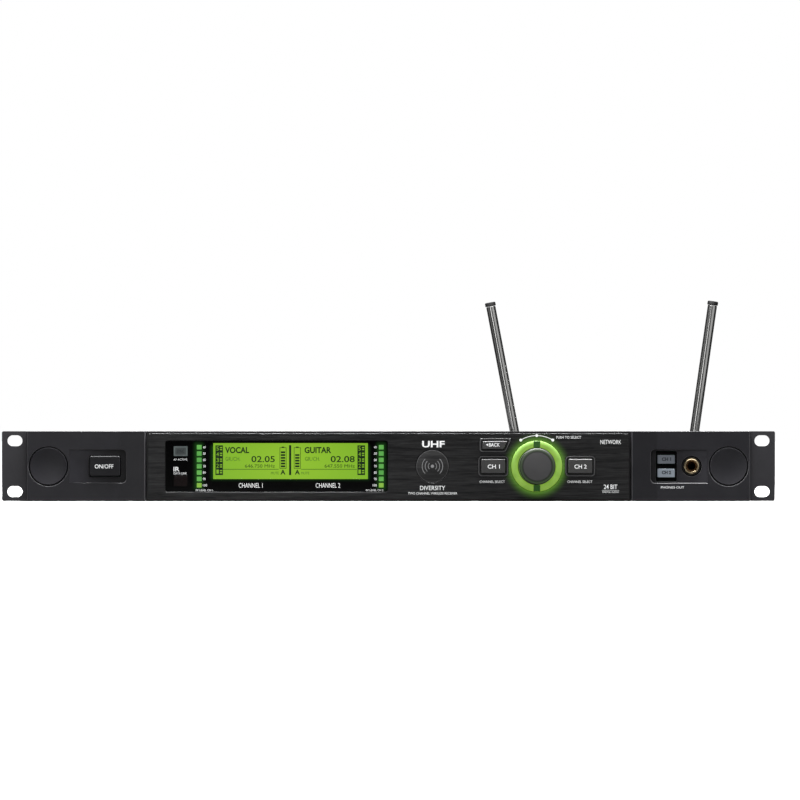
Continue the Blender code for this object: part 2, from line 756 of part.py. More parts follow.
# ---- Display ----
def make_display():
    window = block(
        (WINDOW_LOW_X, WINDOW_HIGH_X),
        (in_front(FASCIA_BACK + WINDOW_THICK), in_front(FASCIA_BACK)),
        (MID_Z - WINDOW_HEIGHT / 2, MID_Z + WINDOW_HEIGHT / 2),
        corner=WINDOW_CORNER,
    )
    piece("display_window", window, "window_black")
    front_y = in_front(FRAME_FRONT)
    back_y = BOARD_FRONT_Y - GAP
    shapes = (
        ("lcd_module", LCD_X, LCD_RISE, LCD_WIDTH, LCD_HEIGHT, "lcd_green"),
        ("left_level_meter", METER_LEFT_X, METER_RISE, METER_WIDTH, METER_HEIGHT - 0.001, "lamp_green"),
        ("right_level_meter", METER_RIGHT_X, METER_RISE, METER_WIDTH, METER_HEIGHT - 0.001, "lamp_green"),
        ("status_lamp", LAMP_X, LAMP_RISE, LAMP_WIDTH, LAMP_HEIGHT, "lamp_grey"),
        ("infrared_eye", LAMP_X, EYE_RISE, EYE_WIDTH, EYE_HEIGHT, "window_black"),
    )
    low = MID_Z - WINDOW_HEIGHT / 2 + WINDOW_LEDGE + GAP
    high = MID_Z + WINDOW_HEIGHT / 2 - WINDOW_LEDGE - GAP
    for name, x, rise, width, height, look in shapes:
        z_low = max(low, MID_Z + rise - height / 2)
        z_high = min(high, MID_Z + rise + height / 2)
        body = block((x - width / 2, x + width / 2), (front_y, back_y), (z_low, z_high))
        piece(name, body, look)


def make_front_board():
    """The board behind the front panel, with the three key switches on it."""
    board_spans = (BOARD_FRONT_Y, BOARD_FRONT_Y + BOARD_THICK)
    board = piece(
        "front_board",
        block((BOARD_LEFT, BOARD_RIGHT), board_spans, (BOARD_MARGIN_Z, CASE_HEIGHT - BOARD_MARGIN_Z)),
        "circuit_board",
    )
    spare = 0.0005
    middle_y = BOARD_FRONT_Y - (SWITCH_HEIGHT - spare) / 2
    for x, z in switch_places():
        add(board, centred_block((x, middle_y, z), (SWITCH_SIDE, SWITCH_HEIGHT + spare, SWITCH_SIDE)))


def key_centres():
    """Where the back key and the two channel keys press."""
    yield KNOB_X + BACK_KEY_X - BACK_KEY_SLANT / 4, MID_Z + BACK_KEY_RISE
    for side in (-1, 1):
        yield KNOB_X + side * KEY_SPREAD, MID_Z


def phones_centres():
    for up in (1, -1):
        yield PHONES_X, MID_Z + up * PHONES_SPREAD / 2


def switch_places():
    yield POWER_X, MID_Z
    yield from key_centres()
    yield from phones_centres()


# ---- Controls ----
def switch_stem(start, face, travel):
    """From a point on a key to just short of its switch, which is drawn pressed in. The point is given about
    the key's own origin, on its face."""
    end_y = BOARD_FRONT_Y - SWITCH_HEIGHT - travel - GAP
    return rod(start, (start[0], end_y - face, start[2]), KEY_STEM, 12)


def moved(mesh, origin):
    """The mesh about a new origin."""
    mesh.transform(Matrix.Translation(-Vector(origin)))
    return mesh


def make_keys():
    """Three keys, each with a flange behind the frame's rim and a stem to its switch."""
    face = in_front(CENTRE_STEP + KEY_PROUD)
    flange_front = in_front(GAP + GAP + KEY_FLANGE_THICK + KEY_TRAVEL - GAP)
    flange_spans = (flange_front, flange_front + KEY_FLANGE_THICK)
    cap_spans = (face, flange_front + KEY_FLANGE_THICK / 2)
    stem_start = cap_spans[1] - face
    centres = list(key_centres())

    origin = (centres[0][0], face, centres[0][1])
    back = piece(
        "back_key", moved(outline_solid(back_key_points(), *cap_spans, "XZ"), origin), "key_grey", at=origin
    )
    add(back, moved(outline_solid(back_key_points(KEY_FLANGE), *flange_spans, "XZ"), origin))
    add(back, switch_stem((0, stem_start, 0), face, KEY_TRAVEL))

    for number, (x, z) in enumerate(centres[1:], 1):
        origin = (x, face, z)
        cap = centred_block(
            (0, sum(cap_spans) / 2 - face, 0),
            (KEY_WIDTH, cap_spans[1] - cap_spans[0], KEY_HEIGHT),
            corner=KEY_CORNER,
        )
        key = piece(f"channel_{number}_key", cap, "key_grey", at=origin)
        flange = centred_block(
            (x, sum(flange_spans) / 2, z),
            (KEY_WIDTH + 2 * KEY_FLANGE, KEY_FLANGE_THICK, KEY_HEIGHT + 2 * KEY_FLANGE),
        )
        add(key, moved(flange, origin), switch_stem((0, stem_start, 0), face, KEY_TRAVEL))


def make_knob():
    """The light ring, the jog knob on its shaft, and the encoder that it turns and pushes."""
    ring_back, ring_front = in_front(FRAME_FRONT + GAP), in_front(CENTRE_STEP + RING_PROUD)
    ring = turned(ring_profile(RING_INNER, RING_OUTER, ring_back, ring_front), 48)
    piece("light_ring", ring, "ring_green", at=(KNOB_X, 0, MID_Z))

    encoder_front, encoder_back = PLATE_BACK_Y + GAP, BOARD_FRONT_Y - GAP
    encoder_depth = encoder_back - encoder_front
    encoder = piece(
        "encoder_body",
        centred_block(
            (KNOB_X, (encoder_front + encoder_back) / 2, MID_Z),
            (ENCODER_SIDE, encoder_depth, ENCODER_SIDE),
            corner=0.0015,
        ),
        "dark_metal",
    )
    cut(encoder, round_hole_y(KNOB_X, MID_Z, SHAFT_RADIUS + BORE_PLAY))

    knob_back = in_front(FRAME_FRONT + KNOB_BACK_ROOM)
    knob_front = knob_back - KNOB_LENGTH
    shaft_front = knob_back - KNOB_LENGTH / 2
    shaft_back = encoder_front + encoder_depth / 2
    origin = (KNOB_X, knob_back, MID_Z)
    rim = 0.0012
    socket = SHAFT_RADIUS + GAP
    profile = [
        (0, -KNOB_LENGTH),
        (KNOB_TOP_RADIUS, -KNOB_LENGTH),
        (KNOB_TOP_RADIUS + rim / 2, -KNOB_LENGTH + rim / 2),
        (KNOB_RADIUS, -KNOB_LENGTH / 2),
        (KNOB_RADIUS, 0),
        (socket, 0),
        (socket, -KNOB_LENGTH / 2 - GAP),
        (0, -KNOB_LENGTH / 2 - GAP),
    ]
    piece("jog_knob", turned(profile, 36), "key_grey", at=origin)
    shaft = rod((0, shaft_front - knob_back, 0), (0, shaft_back - knob_back, 0), SHAFT_RADIUS)
    piece("encoder_shaft", shaft, "bright_metal", at=origin)
    plunger_back = encoder_back - KNOB_PUSH
    plunger = rod((0, shaft_back + GAP - knob_back, 0), (0, plunger_back - knob_back, 0), SHAFT_RADIUS * 0.9)
    piece("encoder_plunger", plunger, "black_plastic", at=origin)
    return knob_front


def make_power_button():
    """The wide button in the left recess."""
    face = in_front(SIDE_STEP + POWER_PROUD)
    origin = (POWER_X, face, MID_Z)
    cap_depth = PLATE_BACK_Y - face
    cap = centred_block((0, cap_depth / 2, 0), (POWER_WIDTH, cap_depth, POWER_HEIGHT), corner=0.0012)
    button = piece("power_button", cap, "black_plastic", at=origin)
    add(button, switch_stem((0, cap_depth / 2, 0), face, POWER_TRAVEL))


def make_phones_controls():
    """Two lit keys in one frame, and the headphone jack with its nut."""
    frame_front, frame_back = in_front(SIDE_STEP - RECESS_DEPTH + 0.0006), PLATE_BACK_Y
    frame_spans = (frame_front, frame_back)
    frame = piece(
        "phones_key_frame",
        centred_block(
            (PHONES_X, sum(frame_spans) / 2, MID_Z),
            (PHONES_FRAME_WIDTH, frame_back - frame_front, PHONES_FRAME_HEIGHT),
        ),
        "black_plastic",
    )
    key_front = in_front(SIDE_STEP - 0.0006)
    key_back = PLATE_BACK_Y + 0.001
    for number, (x, z) in enumerate(phones_centres(), 1):
        opening = (PHONES_KEY_WIDTH + 2 * SLIDE_GAP, PHONES_KEY_HEIGHT + 2 * SLIDE_GAP)
        cut(frame, hole_y(x, z, *opening))
        cap = centred_block(
            (0, (key_back - key_front) / 2, 0),
            (PHONES_KEY_WIDTH, key_back - key_front, PHONES_KEY_HEIGHT),
            corner=0.0004,
        )
        key = piece(f"phones_key_{number}", cap, "lamp_grey", at=(x, key_front, z))
        add(key, switch_stem((0, (key_back - key_front) / 2, 0), key_front, PHONES_TRAVEL))

    bush_front = in_front(SIDE_STEP - 0.0004)
    bush = rod((0, bush_front, 0), (0, PLATE_BACK_Y + 0.004, 0), JACK_OUTER, 24)
    jack = piece("headphone_jack", bush, "gold", at=(JACK_X, 0, MID_Z))
    body_front = PLATE_BACK_Y + GAP
    body_spans = (body_front, bush_front + JACK_DEPTH + 0.004)
    body = centred_block(
        (0, sum(body_spans) / 2, 0), (0.016, body_spans[1] - body_spans[0], 0.016)
    )
    add(jack, body)
    cut(jack, rod((0, bush_front - 0.01, 0), (0, bush_front + JACK_DEPTH, 0), JACK_BORE))
    nut_spans = (in_front(GAP + 0.0016), in_front(GAP))
    nut = turned(ring_profile(JACK_OUTER + GAP, JACK_WELL - GAP, nut_spans[1], nut_spans[0]), 24)
    piece("jack_nut", nut, "dark_metal", at=(JACK_X, 0, MID_Z))


# ---- Antennas ----
def socket_profile(reach):
    """A coaxial bulkhead socket about its own axis, from the panel's outer face at 0. Its open end has a
    recess round the centre contact."""
    throat, contact, well = 0.0036, 0.0011, 0.008
    inside = SHEET + GAP
    return [
        (0, reach - 0.002),
        (contact, reach - 0.002),
        (contact, reach - well),
        (throat, reach - well),
        (throat, reach),
        (SOCKET_BARREL, reach),
        (SOCKET_BARREL, GAP + SOCKET_NUT_THICK),
        (SOCKET_NUT, GAP + SOCKET_NUT_THICK),
        (SOCKET_NUT, GAP),
        (SOCKET_BARREL, GAP),
        (SOCKET_BARREL, -inside),
        (SOCKET_INSIDE_RADIUS, -inside),
        (SOCKET_INSIDE_RADIUS, -inside - SOCKET_INSIDE),
        (0, -inside - SOCKET_INSIDE),
    ]


def make_antenna(letter, x, lean):
    """A rod antenna on its bulkhead socket. The plug turns on the socket, and the rod folds at the fork."""
    socket = turned(socket_profile(SOCKET_REACH))
    piece(f"antenna_socket_{letter}", socket, "bright_metal", at=(x, REAR_Y, MID_Z))

    swivel = pivot(f"antenna_{letter}_swivel", (x, REAR_Y, MID_Z), lean)
    collar_start = GAP + SOCKET_NUT_THICK + GAP
    collar_end = collar_start + COLLAR_LENGTH
    neck_end = collar_end + NECK_LENGTH
    pin_y = neck_end + FORK_RADIUS
    ear_out = TANG_THICK / 2 + GAP + FORK_EAR
    profile = [
        (0, neck_end),
        (NECK_RADIUS, neck_end),
        (NECK_RADIUS, collar_end),
        (COLLAR_OUTER, collar_end),
        (COLLAR_OUTER, collar_start),
        (COLLAR_BORE, collar_start),
        (COLLAR_BORE, collar_end - COLLAR_FLOOR),
        (0, collar_end - COLLAR_FLOOR),
    ]
    plug = piece(f"antenna_plug_{letter}", turned(profile), "dark_metal", parent=swivel)
    add(
        plug,
        block((-ear_out, ear_out), (neck_end - 0.001, pin_y), (-FORK_RADIUS, FORK_RADIUS)),
        rod((-ear_out, pin_y, 0), (ear_out, pin_y, 0), FORK_RADIUS, 24),
    )
    slot_half = TANG_THICK / 2 + GAP
    slot_floor = pin_y - FORK_RADIUS + 0.0006
    cut(
        plug,
        block((-slot_half, slot_half), (slot_floor, pin_y + 0.01), (-0.01, 0.01)),
        rod((-0.01, pin_y, 0), (0.01, pin_y, 0), PIN_RADIUS + PIN_PLAY, 16),
    )
    pin = rod((-ear_out - GAP, pin_y, 0), (ear_out + GAP, pin_y, 0), PIN_RADIUS, 16)
    piece(f"antenna_pin_{letter}", pin, "bright_metal", parent=swivel)

    fold = pivot(f"antenna_{letter}_fold", (0, pin_y, 0))
    fold.parent = swivel
    cap_start = ANTENNA_REACH - CAP_HEIGHT
    rod_end = cap_start - GAP
    tang_radius = FORK_RADIUS - 0.0012
    mast = piece(
        f"antenna_rod_{letter}",
        rod((0, 0, ROD_START), (0, 0, rod_end), ROD_RADIUS, 24),
        "bright_metal",
        parent=fold,
    )
    half = TANG_THICK / 2
    add(
        mast,
        block((-half, half), (-tang_radius * 0.8, tang_radius * 0.8), (0, ROD_START + 0.001)),
        rod((-half, 0, 0), (half, 0, 0), tang_radius),
    )
    cut(mast, rod((-0.01, 0, 0), (0.01, 0, 0), PIN_RADIUS + PIN_PLAY, 16))
    cap = rod((0, 0, cap_start), (0, 0, ANTENNA_REACH), CAP_RADIUS, 24)
    piece(f"antenna_cap_{letter}", cap, "black_plastic", parent=fold)


# ---- Back panel connectors ----
def make_xlr(name, x):
    """A three-pin output: a flange, a cup open to the back, and three pins standing in it."""
    flange_spans = (REAR_Y + GAP, REAR_Y + GAP + XLR_FLANGE_THICK)
    origin = (x, REAR_Y, MID_Z)
    flange_y = (flange_spans[0] - REAR_Y, flange_spans[1] - REAR_Y)
    flange = block(
        (-XLR_FLANGE_WIDTH / 2, XLR_FLANGE_WIDTH / 2),
        flange_y,
        (-XLR_FLANGE_HEIGHT / 2, XLR_FLANGE_HEIGHT / 2),
        corner=0.0025,
    )
    made = piece(name, flange, "black_plastic", at=origin)
    back = flange_y[1] - XLR_BODY_DEPTH
    floor = flange_y[1] - XLR_CUP_DEPTH
    add(made, rod((0, back, 0), (0, flange_y[1] - 0.0004, 0), XLR_SHELL, 24))
    cut(made, rod((0, floor, 0), (0, flange_y[1] + 0.01, 0), XLR_CUP, 24))
    for degrees in (90, 210, 330):
        angle = math.radians(degrees)
        px, pz = XLR_PIN_CIRCLE * math.cos(angle), -XLR_PIN_CIRCLE * math.sin(angle)
        add(made, rod((px, floor - 0.001, pz), (px, flange_y[1] - 0.002, pz), XLR_PIN, 10))


def make_network_ports():
    origin = (NETWORK_X, REAR_Y, MID_Z)
    front, back = 0.001, 0.001 - NETWORK_DEPTH
    ports = piece(
        "network_ports",
        block(
            (-NETWORK_WIDTH / 2, NETWORK_WIDTH / 2), (back, front), (-NETWORK_HEIGHT / 2, NETWORK_HEIGHT / 2)
        ),
        "tinned_steel",
        at=origin,
    )
    for side in (-1, 1):
        x = side * NETWORK_WIDTH / 4
        wide, tall = NETWORK_PORT
        hollow = (front - NETWORK_PORT_DEPTH, front + 0.01)
        cut(ports, block((x - wide / 2, x + wide / 2), hollow, (-tall / 2, tall / 2)))


def make_mains_inlet():
    """A panel inlet with its three blades."""
    origin = (MAINS_X, REAR_Y, MID_Z)
    front = GAP + 0.0022
    inlet = piece(
        "mains_inlet",
        block(
            (-MAINS_FLANGE[0] / 2, MAINS_FLANGE[0] / 2),
            (GAP, front),
            (-MAINS_FLANGE[1] / 2, MAINS_FLANGE[1] / 2),
            corner=0.003,
        ),
        "black_plastic",
        at=origin,
    )
    half_w, half_h = MAINS_BODY[0] / 2, MAINS_BODY[1] / 2
    add(inlet, block((-half_w, half_w), (front - MAINS_DEPTH, front - 0.0005), (-half_h, half_h)))
    floor = front - MAINS_CAVITY_DEPTH
    half_w, half_h = MAINS_CAVITY[0] / 2, MAINS_CAVITY[1] / 2
    bevel = 0.004
    cavity = [
        (-half_w, -half_h),
        (half_w, -half_h),
        (half_w, half_h - bevel),
        (half_w - bevel, half_h),
        (-half_w + bevel, half_h),
        (-half_w, half_h - bevel),
    ]
    cut(inlet, outline_solid(cavity, floor, front + 0.01, "XZ"))
    for x, z in ((-0.007, -0.002), (0.007, -0.002), (0, 0.002)):
        add(inlet, block((x - 0.001, x + 0.001), (floor - 0.001, front - 0.0015), (z - 0.002, z + 0.002)))


def make_rear_connectors():
    for number, x in enumerate(OUTPUT_X, 1):
        make_xlr(f"audio_output_{number}", x)
    make_xlr("digital_output", DIGITAL_X)
    piece("clock_socket", turned(socket_profile(SOCKET_REACH)), "bright_metal", at=(CLOCK_X, REAR_Y, MID_Z))
    make_network_ports()
    make_mains_inlet()


# ---- Boards inside ----
def board_with_feet(name, x, y, feet_inset=0.008):
    """A circuit board on four pillars that stand on the case floor."""
    top = MAIN_BOARD_Z + BOARD_THICK
    board = piece(name, block(x, y, (MAIN_BOARD_Z, top)), "circuit_board")
    for px in (x[0] + feet_inset, x[1] - feet_inset):
        for py in (y[0] + feet_inset, y[1] - feet_inset):
            add(board, rod((px, py, SHEET + GAP), (px, py, top - 0.0002), 0.0028, 12))
    return top


def make_inside():
    floor = board_with_feet("main_board", MAIN_BOARD_X, MAIN_BOARD_Y) + GAP
    for letter, x in zip("ab", (ANTENNA_X[0], ANTENNA_X[1] - 0.018)):
        wide, deep, tall = MODULE_SIZE
        y = MAIN_BOARD_Y[1] - deep / 2 - 0.004
        body = centred_block((x, y, floor + tall / 2), (wide, deep, tall), corner=0.0008, along=2)
        piece(f"radio_module_{letter}", body, "tinned_steel")
    board_with_feet("supply_board", SUPPLY_BOARD_X, SUPPLY_BOARD_Y)
    wide, deep, tall = TRANSFORMER_SIZE
    x = sum(SUPPLY_BOARD_X) / 2 + 0.012
    y = sum(SUPPLY_BOARD_Y) / 2 + 0.012
    piece(
        "supply_transformer",
        centred_block((x, y, floor + tall / 2), (wide, deep, tall), corner=0.003, along=1),
        "ferrite",
    )
    make_heat_sink(floor)
    make_ribbon()


def make_heat_sink(floor):
    """A finned bar along the front of the supply board."""
    wide, deep, tall = SINK_SIZE
    x = sum(SUPPLY_BOARD_X) / 2
    y = SUPPLY_BOARD_Y[0] + deep / 2 + 0.004
    base = 0.004
    sink = piece(
        "supply_heat_sink",
        block((x - wide / 2, x + wide / 2), (y - deep / 2, y - deep / 2 + base), (floor, floor + tall)),
        "bare_aluminium",
    )
    fin = 0.002
    pitch = (wide - fin) / (SINK_FINS - 1)
    for i in range(SINK_FINS):
        fin_x = x - wide / 2 + i * pitch
        fin_span = (y - deep / 2 + base / 2, y + deep / 2)
        add(sink, block((fin_x, fin_x + fin), fin_span, (floor, floor + tall - 0.0004)))


def make_ribbon():
    """The flat cable that joins the main board to the front board, in one S bend."""
    start = Vector((BOARD_FRONT_Y + BOARD_THICK + GAP, MID_Z + 0.004))
    end = Vector((MAIN_BOARD_Y[0] + 0.010, MAIN_BOARD_Z + BOARD_THICK + GAP + RIBBON_THICK / 2))
    middle_y = (start.x + end.x) / 2
    steps = 12
    line = []
    for i in range(steps + 1):
        t = i / steps
        a, b, c, d = (1 - t) ** 3, 3 * t * (1 - t) ** 2, 3 * t * t * (1 - t), t**3
        line.append(
            Vector(
                (
                    a * start.x + b * middle_y + c * middle_y + d * end.x,
                    a * start.y + b * start.y + c * end.y + d * end.y,
                )
            )
        )
    across = []
    for i, point in enumerate(line):
        along = line[min(i + 1, steps)] - line[max(i - 1, 0)]
        across.append(Vector((-along.y, along.x)).normalized() * RIBBON_THICK / 2)
    upper = [p + n for p, n in zip(line, across)]
    lower = [p - n for p, n in zip(line, across)]
    outline = upper + lower[::-1]
    # The outline is drawn in X and Y, then stood up so that it lies in Y and Z and its width runs along X.
    mesh = outline_solid([tuple(p) for p in outline], -RIBBON_WIDTH / 2, RIBBON_WIDTH / 2)
    stand = Matrix(((0, 0, 1, 0), (1, 0, 0, 0), (0, 1, 0, 0), (0, 0, 0, 1)))
    mesh.transform(stand)
    mesh.transform(Matrix.Translation((LCD_X + 0.03, 0, 0)))
    piece("display_ribbon", mesh, "cable_grey")


def main():
    start_scene()
    make_finishes()
    make_tray()
    make_cover()
    make_cover_screws()
    make_rear_panel()
    make_front_plate()
    make_front_mouldings()
    make_centre()
    make_display()
    make_front_board()
    make_keys()
    make_knob()
    make_power_button()
    make_phones_controls()
    for letter, x, lean in zip("ab", ANTENNA_X, ANTENNA_LEAN):
        make_antenna(letter, x, lean)
    make_rear_connectors()
    make_inside()


main()
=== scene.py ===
# %% [markdown]
# # A two-channel wireless receiver
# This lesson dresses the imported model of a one-unit rack receiver: dark painted steel, satin mouldings, a
# brushed fascia with a lit display, a knob in a glowing ring and two nickel rod antennas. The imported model
# gives every place and size. Each new piece stands exactly where its plain counterpart stood, rides on the
# same body, and is finished with a material made from nodes.

import json
import math

import bmesh
import bpy
from mathutils import Matrix, Vector


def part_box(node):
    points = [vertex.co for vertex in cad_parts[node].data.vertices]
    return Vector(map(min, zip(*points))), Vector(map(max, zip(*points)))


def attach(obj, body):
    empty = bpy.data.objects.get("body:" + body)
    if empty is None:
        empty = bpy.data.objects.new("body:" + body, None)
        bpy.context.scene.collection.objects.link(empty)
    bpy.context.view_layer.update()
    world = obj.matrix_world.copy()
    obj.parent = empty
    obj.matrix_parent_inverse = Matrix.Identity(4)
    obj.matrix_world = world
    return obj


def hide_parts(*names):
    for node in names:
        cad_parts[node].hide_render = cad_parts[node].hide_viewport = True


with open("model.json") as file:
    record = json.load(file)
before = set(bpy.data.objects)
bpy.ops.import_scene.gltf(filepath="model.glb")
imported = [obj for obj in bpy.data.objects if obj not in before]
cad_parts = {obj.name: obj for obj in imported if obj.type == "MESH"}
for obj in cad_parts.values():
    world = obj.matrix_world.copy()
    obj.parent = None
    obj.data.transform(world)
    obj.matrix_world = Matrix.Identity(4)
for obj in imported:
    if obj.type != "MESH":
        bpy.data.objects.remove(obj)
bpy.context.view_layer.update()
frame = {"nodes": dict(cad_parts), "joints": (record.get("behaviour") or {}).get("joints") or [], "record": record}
nodes = frame["nodes"]
body_of = {node: body for body, held in frame["record"]["behaviour"]["bodies"].items() for node in held}
scene = bpy.context.scene

# %% [markdown]
# ## Levels and centres
# Everything on the front is placed from a few levels along Y, the direction that runs from front to back.
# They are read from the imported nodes, so they can't disagree with them. Small Y is nearer to someone facing
# the unit.


# %% Levels and centres
def centre(node):
    low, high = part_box(node)
    return (low + high) / 2


def front(node):
    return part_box(node)[0].y


def mm(value):
    return value / 1000


plate_face = front("front_plate")
plate_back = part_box("front_plate")[1].y
fascia_face = front("centre_fascia")
fascia_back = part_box("centre_fascia")[1].y
moulding_face = front("left_port_cap")
window_face = front("display_window")
rear_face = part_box("rear_panel")[1].y
middle_z = centre("front_plate").z
knob_centre = centre("jog_knob")
print("fascia stands", round((plate_face - fascia_face) * 1000, 2), "mm in front of the rack panel")

# %% [markdown]
# ## Node groups
# Three surface effects turn up in many finishes, so each is a node group that is built once. A group gives
# out only numbers: a pattern for the colour or the roughness, and a height for a Bump node.
#
# - fine_texture is the soft pebble of moulded plastic and powder paint, with a slow mottle that keeps a
#   large face from looking flat.
# - brushing is made of lines that run along X. It is noise whose coordinates are squeezed along one axis,
#   in two sizes: hair-thin scratches and broad soft bands.
# - handling is the faint uneven sheen that fingers and cloths leave.
#
# A fourth group, for the ring's painted glow, comes with the fascia that needs it.


# %% Helpers for groups
def new_group(name, inputs, outputs):
    """An empty node group with float inputs {name: value}, and outputs named in a list."""
    group = bpy.data.node_groups.new(name, "ShaderNodeTree")
    for label, value in inputs.items():
        made = group.interface.new_socket(name=label, in_out="INPUT", socket_type="NodeSocketFloat")
        made.default_value = value
    for label in outputs:
        group.interface.new_socket(name=label, in_out="OUTPUT", socket_type="NodeSocketFloat")
    return group, group.nodes.new("NodeGroupInput"), group.nodes.new("NodeGroupOutput")


def add_noise(tree, vector, scale, detail=2.0, roughness=0.5):
    noise = tree.nodes.new("ShaderNodeTexNoise")
    noise.inputs["Detail"].default_value = detail
    noise.inputs["Roughness"].default_value = roughness
    tree.links.new(vector, noise.inputs["Vector"])
    if isinstance(scale, (int, float)):
        noise.inputs["Scale"].default_value = scale
    else:
        tree.links.new(scale, noise.inputs["Scale"])
    return noise.outputs["Fac"]


def add_maths(tree, operation, first, second, clamp=False):
    step = tree.nodes.new("ShaderNodeMath")
    step.operation = operation
    step.use_clamp = clamp
    for socket, value in zip(step.inputs, (first, second)):
        if isinstance(value, (int, float)):
            socket.default_value = value
        else:
            tree.links.new(value, socket)
    return step.outputs[0]


# %% Fine texture
fine_texture, given, result = new_group(
    "fine_texture", {"Grain": 2600.0, "Mottle": 45.0}, ["Grain", "Mottle"]
)
place = fine_texture.nodes.new("ShaderNodeTexCoord").outputs["Object"]
grain = add_noise(fine_texture, place, given.outputs["Grain"], 3.0)
mottle = add_noise(fine_texture, place, given.outputs["Mottle"], 3.0)
fine_texture.links.new(grain, result.inputs["Grain"])
fine_texture.links.new(mottle, result.inputs["Mottle"])

# %% Brushing
brushing, given, result = new_group("brushing", {"Fine": 1.0, "Broad": 1.0}, ["Lines", "Height"])
place = brushing.nodes.new("ShaderNodeTexCoord").outputs["Object"]


def squeezed(tree, vector, scale):
    step = tree.nodes.new("ShaderNodeMapping")
    step.inputs["Scale"].default_value = scale
    tree.links.new(vector, step.inputs["Vector"])
    return step.outputs["Vector"]


hairs = add_noise(brushing, squeezed(brushing, place, (60, 60, 5200)), 1.0, 3.0, 0.6)
bands = add_noise(brushing, squeezed(brushing, place, (95, 95, 1500)), 1.0, 3.0, 0.65)
long_bands = add_noise(brushing, squeezed(brushing, place, (34, 34, 800)), 1.0, 2.0)
weighted = add_maths(brushing, "MULTIPLY", hairs, given.outputs["Fine"])
broad = add_maths(brushing, "MULTIPLY", add_maths(brushing, "ADD", bands, long_bands), given.outputs["Broad"])
total = add_maths(brushing, "ADD", weighted, broad)
share = add_maths(
    brushing, "ADD", given.outputs["Fine"], add_maths(brushing, "MULTIPLY", given.outputs["Broad"], 2.0)
)
brushing.links.new(add_maths(brushing, "DIVIDE", total, share), result.inputs["Lines"])
brushing.links.new(hairs, result.inputs["Height"])

# %% Handling
handling, given, result = new_group("handling", {"Size": 22.0}, ["Smear"])
place = handling.nodes.new("ShaderNodeTexCoord").outputs["Object"]
smear = add_noise(handling, squeezed(handling, place, (1.0, 1.0, 2.2)), given.outputs["Size"], 4.0, 0.62)
handling.links.new(smear, result.inputs["Smear"])
print("groups:", [group.name for group in bpy.data.node_groups])

# %% [markdown]
# ## Finishes
# One function makes the finishes that share a recipe. The Principled shader stays in the material itself.
# Colours are blended by the pattern between a darker and a lighter value, and the roughness follows the
# smear within a narrow range. A value that is the same all over is set on the shader's own socket.


# %% The recipe
def blended(tree, factor, low, high, lo=0.35, hi=0.65):
    """A colour between low and high as factor goes from lo to hi."""
    ramp = tree.nodes.new("ShaderNodeValToRGB")
    ramp.color_ramp.elements[0].position = lo
    ramp.color_ramp.elements[1].position = hi
    ramp.color_ramp.elements[0].color = (*low, 1)
    ramp.color_ramp.elements[1].color = (*high, 1)
    tree.links.new(factor, ramp.inputs["Fac"])
    return ramp.outputs["Color"]


def ranged(tree, factor, low, high, lo=0.3, hi=0.7):
    step = tree.nodes.new("ShaderNodeMapRange")
    step.inputs["From Min"].default_value = lo
    step.inputs["From Max"].default_value = hi
    step.inputs["To Min"].default_value = low
    step.inputs["To Max"].default_value = high
    tree.links.new(factor, step.inputs["Value"])
    return step.outputs["Result"]


def placed_group(tree, group, **values):
    step = tree.nodes.new("ShaderNodeGroup")
    step.node_tree = group
    for name, value in values.items():
        step.inputs[name].default_value = value
    return step


def finish(name, dark, light, rough, metallic=0.0, bump=0.1, grain=2600.0, mottle=45.0, **sockets):
    """A textured finish: colour from dark to light, roughness from rough[0] to rough[1]."""
    made = bpy.data.materials.new(name)
    made.use_nodes = True
    tree = made.node_tree
    shader = tree.nodes["Principled BSDF"]
    texture = placed_group(tree, fine_texture, Grain=grain, Mottle=mottle)
    smears = placed_group(tree, handling, Size=22.0)
    tree.links.new(blended(tree, texture.outputs["Mottle"], dark, light), shader.inputs["Base Color"])
    tree.links.new(ranged(tree, smears.outputs["Smear"], *rough), shader.inputs["Roughness"])
    shader.inputs["Metallic"].default_value = metallic
    if bump:
        bumped = tree.nodes.new("ShaderNodeBump")
        bumped.inputs["Strength"].default_value = bump
        bumped.inputs["Distance"].default_value = 0.00002
        tree.links.new(texture.outputs["Grain"], bumped.inputs["Height"])
        tree.links.new(bumped.outputs["Normal"], shader.inputs["Normal"])
    for label, value in sockets.items():
        shader.inputs[label.replace("_", " ")].default_value = value
    return made


# %% Paints and plastics
ear_paint = finish("ear_paint", (0.028, 0.027, 0.032), (0.035, 0.034, 0.039), (0.42, 0.52), bump=0.35)
moulding_satin = finish(
    "moulding_satin",
    (0.017, 0.0165, 0.0205),
    (0.022, 0.0215, 0.0255),
    (0.36, 0.42),
    bump=0.15,
    Specular_IOR_Level=0.36,
)
# A lighter finish for the scoop's lip and the port's lower edge: a painted highlight.
moulding_edge = finish("moulding_edge", (0.070, 0.069, 0.074), (0.090, 0.089, 0.094), (0.36, 0.42), bump=0.1)
case_paint = finish(
    "case_paint", (0.014, 0.014, 0.016), (0.017, 0.017, 0.019), (0.52, 0.56), bump=0.6, grain=1500.0
)
frame_plastic = finish("frame_plastic", (0.009, 0.009, 0.010), (0.013, 0.013, 0.014), (0.30, 0.40), bump=0.1)
button_plastic = finish(
    "button_plastic",
    (0.009, 0.009, 0.011),
    (0.013, 0.013, 0.015),
    (0.46, 0.54),
    bump=0.15,
    Specular_IOR_Level=0.25,
)
# A lighter grey for painted highlights on the key rims and the emblem's edge.
rim_grey = finish("rim_grey", (0.095, 0.095, 0.098), (0.115, 0.115, 0.118), (0.34, 0.42), 0.2, bump=0.1)
socket_plastic = finish(
    "socket_plastic", (0.007, 0.007, 0.008), (0.011, 0.011, 0.012), (0.35, 0.50), bump=0.3
)
rubber_cap = finish(
    "rubber_cap",
    (0.003, 0.003, 0.003),
    (0.005, 0.005, 0.005),
    (0.55, 0.65),
    bump=0.2,
    Specular_IOR_Level=0.25,
)
